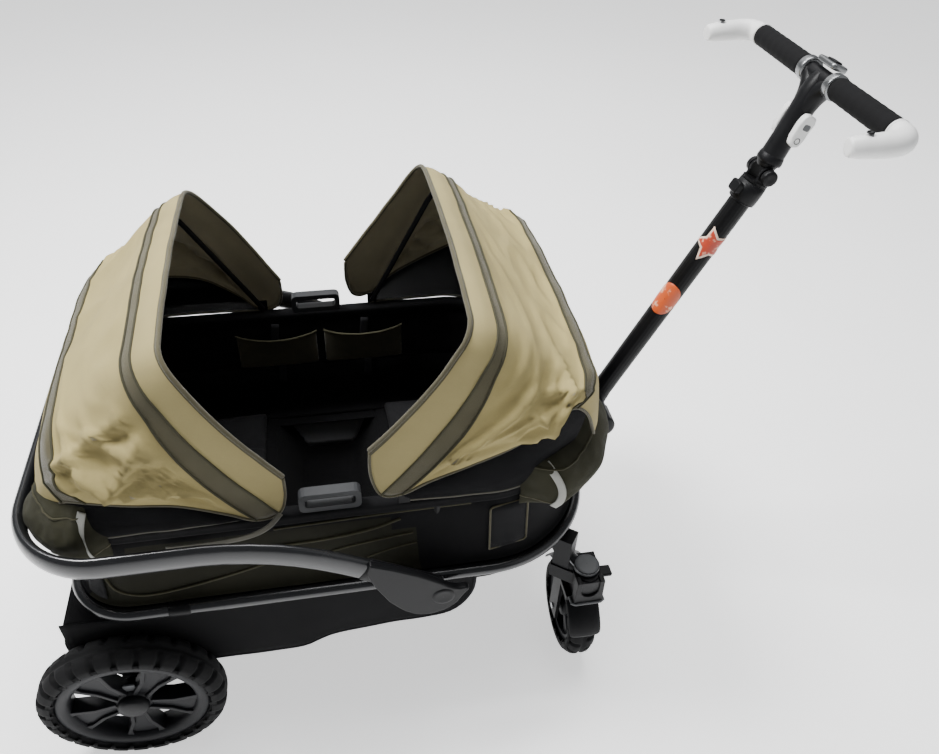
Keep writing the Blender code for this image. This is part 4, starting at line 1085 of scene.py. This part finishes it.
def u_line(open_x, end_x, half, corner):
    """A U in plan from (open_x, -half), round the end at end_x, to (open_x, half)."""
    way = 1 if end_x > open_x else -1
    bend_at = (end_x - way * corner, half - corner)
    run = [(x, -half) for x in np.linspace(open_x, bend_at[0], 14)[:-1]]
    run += [(bend_at[0] + way * corner * math.cos(a), -bend_at[1] + corner * math.sin(a))
            for a in np.linspace(-math.pi / 2, 0, 22)]
    return run + [(x, -y) for x, y in run[::-1]]


def frame_tubes():
    """The oval hoop and the two halves of the round lower loop."""
    for end, open_x, end_x, corner in (("rear", -0.2500, REAR_END, REAR_CORNER),
                                       ("front", -0.2496, FRONT_END, FRONT_CORNER)):
        line = [at(x, y, LOOP_Z) for x, y in u_line(open_x, end_x, LOOP_HALF, corner)]
        made = sweep("loop_tube_" + end, line, 0.0110, TUBE, "chassis", "black_tube", 24,
                     caps=False)
        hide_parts("lower_loop_" + end)
    for side, way in SIDES:
        sweep("loop_joint_" + side, [at(x, way * LOOP_HALF, LOOP_Z) for x in
              (-0.2660, -0.2620, -0.2500, -0.2380, -0.2340)],
              [0.0113, 0.0121, 0.0121, 0.0121, 0.0113], MOULD, "chassis", "black_plastic", 24)

    def height(x):
        bend = min(max(x + 0.20, 0), 0.22)
        return 0.505 - 0.60 * bend ** 2 / 0.44 - 0.60 * max(x - 0.02, 0)

    line = [at(x, y, height(x)) for x, y in u_line(0.115, -0.457, 0.334, 0.130)]
    made = sweep("hoop_oval", line, 0.0155, TUBE, "rear_hoop", "black_tube", 32,
                 flat=(0.645, 1.355), caps=False)
    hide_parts("hoop_tube")
    for side, way in SIDES:
        sweep("hoop_sleeve_" + side, [at(x, way * 0.334, height(x)) for x in
              np.linspace(0.045, 0.150, 9)], 0.0160, MOULD, "rear_hoop", "black_plastic", 24,
              flat=(0.78, 1.42))


def hangers():
    """The front cross frame, its socket plates kept up behind the lower loop."""
    shape = frame["nodes"]["front_cross_frame"].data.copy()
    bm = bmesh.new()
    bm.from_mesh(shape)
    for _, way in SIDES:
        bmesh.ops.bisect_plane(bm, geom=bm.verts[:] + bm.edges[:] + bm.faces[:],
                               plane_co=(0, way * 0.2812, 0), plane_no=(0, way, 0),
                               clear_outer=True)
    bmesh.ops.holes_fill(bm, edges=[e for e in bm.edges if e.is_boundary], sides=0)
    bm.to_mesh(shape)
    bm.free()
    shape.materials.clear()
    made = place("front_hanger_frame", shape, MATT_TUBE, "chassis", "black_tube", False)
    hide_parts("front_cross_frame")
    for side, way in SIDES:
        look = facing(at(0.165, way * 0.2817, 0.310), way)
        slab("front_hanger_" + side, soft_box(0.032, 0.038, 0.004, 3), 0.0, 0.0112, look,
             MOULD, "chassis", "black_plastic", 0.0015)


def tub():
    """The cloth walls round the tub, then everything that is sewn or bolted to it."""
    def outer_pick(i, j):
        x, y = plan(0.03, ROUND_TUB)[j]
        row = i / 24
        if abs(y) > 0.2 and -0.36 < x < 0.13 and row > 0.45:
            return 1
        if abs(y) > 0.2 and -0.30 < x < 0.10 and 0.16 < row <= 0.45:
            return 1
        return 0

    outer = ring_wall("tub_outer_wall", WALL, [BLACK, DARK_OLIVE], "chassis",
                      pick=outer_pick)
    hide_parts("upper_walls")
    fold_blend(outer)
    inner = ring_wall("tub_lining", ((0.0440, 0.4830), (0.0465, 0.455), (0.0480, 0.410),
                      (0.0490, 0.375)), BLACK, "chassis")
    fold_blend(inner, 0.368)
    lower = ring_wall("tub_lower_wall", ((0.0095, 0.3440), (0.0330, 0.340), (0.0500, 0.331),
                      (0.0505, 0.300), (0.0510, 0.262), (0.0560, 0.240), (0.0900, 0.2345)),
                      BLACK, "chassis", ripple=0.0012)
    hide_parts("tub_tray")
    bed = ring_wall("tub_inner_tray", ((0.0480, 0.3700), (0.0530, 0.340), (0.0540, 0.300),
                    (0.0560, 0.250), (0.0700, 0.2405)), BLACK, "chassis", ripple=0.0008)
    rolled = ring_wall("rim_sleeve", ((0.0405, 0.4800), (0.0262, 0.4815), (0.0250, 0.4900),
                       (0.0262, 0.4985), (0.0365, 0.5020), (0.0470, 0.4985),
                       (0.0478, 0.4890), (0.0470, 0.4810)), BLACK, "upper_frame",
                       thick=0.0010, ripple=0.0006)
    floor()
    piping()
    pockets()
    hangers()
    frame_tubes()
    covers()
    skirts()
    interior()


def floor():
    """Seat decks at both ends and the sunk footwell between them."""
    for end, way in (("rear", -1), ("front", 1)):
        edge = [p for p in plan(0.056, ROUND_TUB) if way * p[0] > 0.106]
        edge.sort(key=lambda p: p[1])
        rows = []
        for x, y in edge:
            rows.append([at(way * 0.106 + (x - way * 0.106) * s, y,
                            0.2392 + 0.0015 * noise.noise(Vector((x * s * 20, y * 20, 2))))
                         for s in np.linspace(0, 1, 12)])
        made = grid("deck_" + end, rows, BLACK, "chassis", "black_cloth", thick=0.0014)
        patch_area(rows)
    ways = ((0.108, 0.2380, 0.2405), (0.104, 0.2350, 0.236), (0.085, 0.220, 0.195),
            (0.068, 0.207, 0.160), (0.058, 0.198, 0.1405), (0.040, 0.17, 0.1375),
            (0.0005, 0.0005, 0.1372))
    rows = []
    for hx, hy, z in ways:
        outline = even(soft_box(2 * hx, 2 * hy, min(hx, hy) * 0.22, 3) +
                       soft_box(2 * hx, 2 * hy, min(hx, hy) * 0.22, 3)[:1], 65)[:-1]
        rows.append([at(x, y, z) for x, y in outline])
    made = grid("footwell_cloth", rows, BLACK, "chassis", "black_cloth", thick=0.0016,
                wrap=True, subdiv=1)
    patch_area([row + row[:1] for row in rows])
    for side, way in SIDES:
        panel = []
        for s in np.linspace(0, 1, 7):
            half = 0.089 - 0.034 * s
            z = 0.229 - 0.060 * s
            y = 0.2315 - 0.019 * s
            panel.append([at(x, way * (y - 0.0035), z) for x in np.linspace(-half, half, 9)])
        made = grid("footwell_panel_" + side, panel, GREY_PANEL, "chassis", "black_cloth",
                    thick=0.0008)
        patch_area(panel)


def on_wall(x, z, lift, way):
    """A point `lift` outside the tub's outer wall."""
    heights, insets = [z for _, z in WALL[::-1]], [inset for inset, _ in WALL[::-1]]
    return at(x, way * wall_half_width(x, float(np.interp(z, heights, insets)) - lift), z)


def wall_rows(x0, x1, across, z0, z1, way):
    """Points for a panel sewn on the outer wall."""
    return [[on_wall(x, z, 0.0030, way) for x in np.linspace(x0, x1, across)]
            for z in np.linspace(z0, z1, 7)]


def piping():
    """Piping, a light binding and a zip line sewn on the near and far walls."""
    lines = (
        ("a", ((-0.090, 0.468), (0.02, 0.471), (0.10, 0.473), (0.22, 0.474)), PIPING, 0.0020),
        ("b", ((-0.125, 0.434), (-0.02, 0.436), (0.055, 0.445), (0.105, 0.460)), PIPING,
         0.0024),
        ("c", ((-0.03, 0.402), (0.02, 0.414), (0.09, 0.424), (0.125, 0.428)), PIPING, 0.0016),
        ("d", ((0.05, 0.386), (0.09, 0.398), (0.130, 0.405)), PIPING, 0.0014),
        ("e", ((-0.355, 0.405), (-0.340, 0.378), (-0.300, 0.366), (-0.24, 0.370),
               (-0.17, 0.384), (-0.10, 0.402)), PIPING, 0.0020),
    )
    for side, way in SIDES:
        for tag, pts, look, radius in lines:
            path = [on_wall(x, z, 0.0016, way) for x, z in pts]
            made = sweep(f"piping_{tag}_{side}", spline(path, 30), radius, look, "chassis",
                         "black_cloth", 8)
            fold_blend(made)
        band = [at(x, way * wall_half_width(x, inset), z) for x, z, inset in
                ((-0.250, 0.463, 0.0210), (-0.200, 0.465, 0.0190), (-0.160, 0.469, 0.0170),
                 (-0.122, 0.478, 0.0150), (-0.094, 0.494, 0.0150), (-0.075, 0.514, 0.0200))]
        strap("binding_" + side, band, 0.0085, 0.0012, BINDING, "upper_frame",
              "khaki_cloth", across=(0.25, 0.20, 1))
        x0, x1, z0, z1 = 0.252, 0.318, 0.372, 0.462
        made = grid(f"mesh_panel_{side}_0", wall_rows(x0, x1, 9, z0, z1, way), NET, "chassis",
                    "black_cloth", thick=0.0008)
        fold_blend(made)
        rim = [on_wall(x, z, 0.0040, way) for x, z in
               ((x0, z0), (x1, z0), (x1, z1), (x0, z1), (x0, z0))]
        made = sweep(f"mesh_frame_{side}_0", even(rim, 41), 0.0018, TRIM, "chassis",
                     "black_cloth", 6)
        fold_blend(made)
        made = grid("corner_patch_" + side, wall_rows(-0.388, -0.358, 7, 0.360, 0.420, way),
                    SEAT, "chassis", "black_cloth", thick=0.0010)
        fold_blend(made)


def pockets():
    """Olive pockets bulging round the four top corners, with tape at their side ends."""
    for end, cx, corner, outer, start, stop in (
            ("rear", -0.317, 0.100, 0.0985, 186, 96), ("front", 0.250, 0.200, 0.2265, -3, 74)):
        for side, way in SIDES:
            y = 0.300 - corner
            inner = corner - 0.0225
            rise = 0.118 if end == "rear" else 0.108
            rows = []
            steps = 40
            for k in range(steps + 1):
                s = k / steps
                ang = math.radians(start + (stop - start) * s)
                swell = min(1.0, 6 * s, 6 * (1 - s)) ** 0.7
                row = []
                for v in np.linspace(0, 1, 19):
                    lift = (math.sin(math.pi * v ** 0.85) ** 0.5) * swell
                    reach = outer - inner + (0.024 if end == "rear" else 0.006) * abs(
                        math.cos(ang)) + 0.006
                    radius = inner + reach * lift
                    z = 0.4600 + rise * v + (0.006 * math.sin(7 * s + 1) if v > 0.5 else 0)
                    px, py = cx + radius * math.cos(ang), way * (y + radius * math.sin(ang))
                    p = Vector((px, py, z))
                    dent = 0.0085 * noise.noise(p * 17) - 0.0065 * abs(
                        noise.noise(Vector((s * 9, z * 60, way))))
                    row.append(at(px + math.cos(ang) * dent, py + way * math.sin(ang) * dent,
                                  z))
                rows.append(row)
            made = grid(f"pocket_{end}_{side}", rows, OLIVE, "upper_frame", "black_cloth",
                        thick=0.0016, subdiv=1)
            patch_area(rows)
            top = [row[15] + Vector((0, 0, 0.0012)) for row in rows]
            sweep(f"pocket_piping_{end}_{side}", top, 0.0017, PIPING, "upper_frame",
                  "black_cloth", 8)
            low = [row[4] for row in rows]
            sweep(f"pocket_seam_{end}_{side}", low, 0.0015, TRIM, "upper_frame",
                  "black_cloth", 8)
            tape = []
            for v in (0.18, 0.32, 0.46, 0.60, 0.72, 0.84, 0.95):
                s = 0.90 - 0.05 * math.sin(math.pi * v)
                ang = math.radians(start + (stop - start) * s)
                reach = (outer - inner + 0.006) * 0.96
                radius = inner + reach * math.sin(math.pi * v ** 0.85) ** 0.5 + 0.0025
                tape.append(at(cx + radius * math.cos(ang), way * (y + radius * math.sin(ang)),
                               0.4600 + rise * v))
            strap(f"reflector_{end}_{side}", tape, 0.0125, 0.0009, REFLECT, "upper_frame",
                  "khaki_cloth", across=(1, 0.3 * way, 0))


def covers():
    """The moulded cover on each end of the hoop, with its pivot boss and front tab."""
    shape = ((0.0500, 0.4480), (0.0860, 0.4300), (0.1240, 0.4075), (0.1560, 0.3840),
             (0.1770, 0.3660), (0.1900, 0.3600), (0.2060, 0.3620), (0.2090, 0.3560),
             (0.1990, 0.3420), (0.1870, 0.3200), (0.1700, 0.3060), (0.1450, 0.2990),
             (0.1220, 0.3020), (0.1000, 0.3180), (0.0780, 0.3460), (0.0560, 0.3900),
             (0.0440, 0.4250))
    for side, way in SIDES:
        look = facing(at(0, way * 0.3330, 0), way)
        outline = [(-way * x, z) for x, z in even(shape + shape[:1], 49)[:-1]]
        if way > 0:
            outline = outline[::-1]
        made = slab("hoop_housing_" + side, outline, 0.0015, 0.0148, look, MOULD, "rear_hoop",
                    "black_plastic", 0.0034, 3)
        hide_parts("hoop_cover_" + side)
        hub = facing(at(0.165, way * 0.3330, 0.345), way)
        lathe("hoop_pivot_cap_" + side, [(0.0195, 0.0140), (0.0185, 0.0158), (0.0140, 0.0166),
              (0.0110, 0.0160), (0.0002, 0.0162)], hub, MOULD, "rear_hoop", "black_plastic",
              32)


def skirts():
    """The black cloth body below the loop, its lower edge stepping up toward the front."""
    edge = ((-0.436, 0.205), (-0.400, 0.195), (-0.330, 0.184), (-0.300, 0.178),
            (-0.200, 0.180), (-0.120, 0.180), (-0.070, 0.182), (-0.040, 0.196),
            (-0.010, 0.206), (0.055, 0.212), (0.140, 0.216), (0.192, 0.226),
            (0.224, 0.272), (0.230, 0.322))
    low = spline([(x, z, 0) for x, z in edge], 60)
    for side, way in SIDES:
        rows = []
        for x, z, _ in low:
            col = []
            for v in np.linspace(0, 1, 13):
                zz = 0.3290 + (z - 0.3290) * v
                y = 0.2950 + 0.0012 * math.sin(3 * v + x * 14)
                y += 0.0012 * noise.noise(Vector((x * 16, zz * 20, way)))
                col.append(at(x, way * y, zz))
            rows.append(col)
        made = grid("side_skirt_" + side, rows, BLACK, "chassis", "black_cloth", thick=0.002)
        patch_area(rows)
        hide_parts("skirt_" + side)
        gusset = []
        for a in np.linspace(0, math.pi / 2, 15):
            inner = np.array((-0.317 - 0.092 * math.cos(a), -0.200 - 0.092 * math.sin(a)))
            outer = np.array((max(-0.430, -0.317 - 0.17 * math.cos(a)),
                              max(-0.2945, -0.200 - 0.17 * math.sin(a))))
            gusset.append([at(x, -way * y, 0.3285 + 0.0035 * (1 - t)) for t in
                           np.linspace(0, 1, 5) for x, y in [inner * (1 - t) + outer * t]])
        made = grid("corner_gusset_" + side, gusset, BLACK, "chassis", "black_cloth",
                    thick=0.0014)
        patch_area(gusset)
        sweep("skirt_hem_" + side, [r[-1] for r in rows], 0.0024, WEB, "chassis",
              "black_cloth", 8)
    flap = []
    for y in np.linspace(-0.285, 0.285, 33):
        col = []
        for v in np.linspace(0, 1, 11):
            bow = 0.010 * math.sin(math.pi * v)
            x = -0.428 - 0.016 * v - bow + 0.002 * noise.noise(Vector((y * 14, v * 5, 1)))
            col.append(at(x, y, 0.318 - 0.112 * v))
        flap.append(col)
    made = grid("rear_flap", flap, BLACK, "chassis", "black_cloth", thick=0.0018, subdiv=1)
    patch_area(flap)
    sweep("rear_flap_hem", [c[-1] for c in flap], 0.0026, WEB, "chassis", "black_cloth", 8)


def cushion(name, corners, thick, where, look, replaces, cap, channels):
    """A stuffed pad: an outline inflated by cloth pressure, then given sewn channels."""
    pad = bpy.data.objects.new(name, raised(name, corners, 0, thick))
    pad.location = where
    bpy.context.scene.collection.objects.link(pad)
    bpy.context.view_layer.objects.active = pad
    remesh = pad.modifiers.new("remesh", "REMESH")
    remesh.mode, remesh.voxel_size = "VOXEL", 0.0065
    bake(pad)
    rest = np.array([v.co for v in pad.data.vertices])
    cloth = pad.modifiers.new("cloth", "CLOTH")
    cloth.settings.use_pressure = True
    cloth.settings.uniform_pressure_force = 4
    cloth.settings.effector_weights.gravity = 0
    cloth.settings.quality = 4
    for k in range(1, 19):
        bpy.context.scene.frame_set(k)
    bake(pad)
    bpy.context.scene.frame_set(1)
    moved = np.array([v.co for v in pad.data.vertices]) - rest
    length = np.linalg.norm(moved, axis=1)[:, None]
    moved *= np.minimum(1, cap / np.maximum(length, 1e-9))
    rest = rest + moved
    for vert, co in zip(pad.data.vertices, rest):
        x, y, z = co
        if z > thick * 0.5:
            for axis, line in channels:
                gap = (x if axis == "x" else y) - line
                z -= 0.0065 * math.exp(-(gap / 0.0055) ** 2)
            z += 0.0012 * noise.noise(Vector((x * 30, y * 30, 4)))
        vert.co = (x, y, max(z, 0.0))
    pad.data.materials.clear()
    pad.data.materials.append(look)
    for poly in pad.data.polygons:
        poly.use_smooth = True
    soft = pad.modifiers.new("soft", "SUBSURF")
    soft.levels = soft.render_levels = 1
    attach(pad, "chassis")
    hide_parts(replaces)


def bake(obj):
    """Applies all of an object's modifiers to its mesh."""
    graph = bpy.context.evaluated_depsgraph_get()
    mesh = bpy.data.meshes.new_from_object(obj.evaluated_get(graph))
    obj.modifiers.clear()
    obj.data = mesh


def seat(end):
    """One seat: cushion, back pad, harness webbing and buckles."""
    way, low, high = (-1, 0.122, 0.350) if end == "rear" else (1, 0.122, 0.384)
    corner = 0.05 if way < 0 else 0.135
    half = 0.228
    outline = [(low, -half), (high - corner, -half)]
    outline += ring(corner, 7, (high - corner, -half + corner), 270, 90)[1:]
    outline += ring(corner, 7, (high - corner, half - corner), 0, 90)
    outline += [(low, half)]
    corners = [(way * x, y) for x, y in outline]
    cushion("seat_cushion_" + end, corners, 0.024, at(0, 0, 0.2440), SEAT,
            "seat_pad_" + end, 0.007,
            (("y", 0.0), ("y", -0.12), ("y", 0.12), ("x", way * 0.235)))
    back = []
    for s in np.linspace(0, 1, 15):
        z = 0.284 + 0.168 * s
        row = []
        for y in np.linspace(-0.150, 0.150, 25):
            x = (0.338 if way < 0 else 0.368) + 0.010 * s
            x -= 0.010 * math.cos(y * 9) * math.sin(math.pi * min(1, s * 1.05)) ** 0.5
            x -= 0.0025 * math.cos(y * 70) * (abs(y) < 0.13)
            row.append(at(way * x, y, z + 0.001 * math.sin(y * 40)))
        back.append(row)
    made = grid("back_pad_" + end, back, SEAT, "chassis", "black_cloth", thick=0.009,
                subdiv=1)
    fold_blend(made, 0.368)
    for k, y in enumerate((-0.165, -0.062, 0.062, 0.165)):
        top = (0.330 if way < 0 else 0.352)
        web = [at(way * top, y, 0.440), at(way * (top - 0.012), y * 0.98, 0.385),
               at(way * (top - 0.022), y * 0.95, 0.330), at(way * (top - 0.050), y * 0.9,
               0.292), at(way * (top - 0.105), y * 0.75, 0.288)]
        made = strap(f"harness_{end}_{k}", web, 0.022, 0.0016, WEB, "chassis",
                     "black_cloth", across=(0, 1, 0))
        fold_blend(made, 0.368)
    for k, y in enumerate((-0.110, 0.110)):
        lying = Matrix.Translation(at(way * 0.235, y, 0.2885))
        slab(f"buckle_{end}_{k}", soft_box(0.034, 0.030, 0.008, 4), 0.0, 0.009, lying,
             MOULD, "chassis", "black_plastic", 0.002, 3)
        slab(f"buckle_tab_{end}_{k}", soft_box(0.013, 0.012, 0.004, 3), 0.0088, 0.0108,
             lying, GREY, "chassis", "grey_plastic", 0.001)


def side_fittings(side, way):
    """Two inner pockets and two straps on one long wall."""
    for k, (x0, x1, z0, z1) in enumerate(((-0.165, -0.005, 0.375, 0.455),
                                          (0.010, 0.170, 0.375, 0.455))):
        rows = []
        for s in np.linspace(0, 1, 11):
            z = z0 + (z1 - z0) * s
            row = []
            for t in np.linspace(0, 1, 17):
                swell = 0.013 * math.sin(math.pi * t) ** 0.6 * (0.35 + 0.65 * s)
                x = x0 + (x1 - x0) * t
                sag = 0.008 * math.sin(math.pi * t) * s
                y = 0.2495 - swell + 0.002 * noise.noise(Vector((x * 30, z * 30, k)))
                row.append(at(x, way * y, z - sag))
            rows.append(row)
        made = grid(f"inner_pocket_{side}_{k}", rows, INNER_OLIVE, "chassis",
                    "black_cloth", thick=0.0014, subdiv=1)
        patch_area(rows)
        fold_blend(made, 0.368)
        made = sweep(f"inner_pocket_edge_{side}_{k}", rows[-1], 0.0022, PIPING, "chassis",
                     "black_cloth", 8)
        fold_blend(made, 0.368)
    for k, x in enumerate((-0.085, 0.095)):
        web = [at(x, way * 0.2515, 0.478), at(x - 0.004, way * 0.2500, 0.43),
               at(x + 0.003, way * 0.2480, 0.38), at(x, way * 0.2440, 0.33)]
        made = strap(f"side_strap_{side}_{k}", web, 0.016, 0.0014, WEB, "chassis",
                     "black_cloth", across=(1, 0, 0))
        fold_blend(made, 0.345)


def interior():
    """Seats and side fittings inside the tub."""
    for end in ("rear", "front"):
        seat(end)
    for side, way in SIDES:
        side_fittings(side, way)


def rear_ribs():
    """The bow and the end rib that carry the rear hood."""
    def arch(foot, top, corner):
        foot, top = np.array(foot), np.array(top)
        down = (foot - top) / np.linalg.norm(foot - top)
        half = [foot * (1 - s) + (top + down * corner) * s for s in np.linspace(0, 0.95, 9)]
        half += [top + down * corner * (1 - s) ** 2 - np.array((0, corner, 0)) * s ** 2
                 for s in np.linspace(0, 1, 13)]
        full = half + [p * (1, -1, 1) for p in half[::-1]]
        return [at(MID - p[0], p[1], p[2]) for p in full]

    made = sweep("canopy_bow_tube_rear", arch((0.109, 0.2635, 0.512), (0.249, 0.241, 0.763),
                 0.060), 0.005, MATT_TUBE, "canopy_bow_rear", "steel", 12)
    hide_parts("canopy_bow_rear")
    made = sweep("end_rib_tube_rear", arch((0.379, 0.225, 0.5055), (0.378, 0.224, 0.648),
                 0.045), 0.005, MATT_TUBE, "upper_frame", "black_tube", 12)
    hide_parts("end_rib_rear")


rear_ribs()
rear = hood("rear", REAR_HOOD)
front = hood("front", FRONT_HOOD)
stretch_panels("rear", rear)
stretch_panels("front", front)
tub()
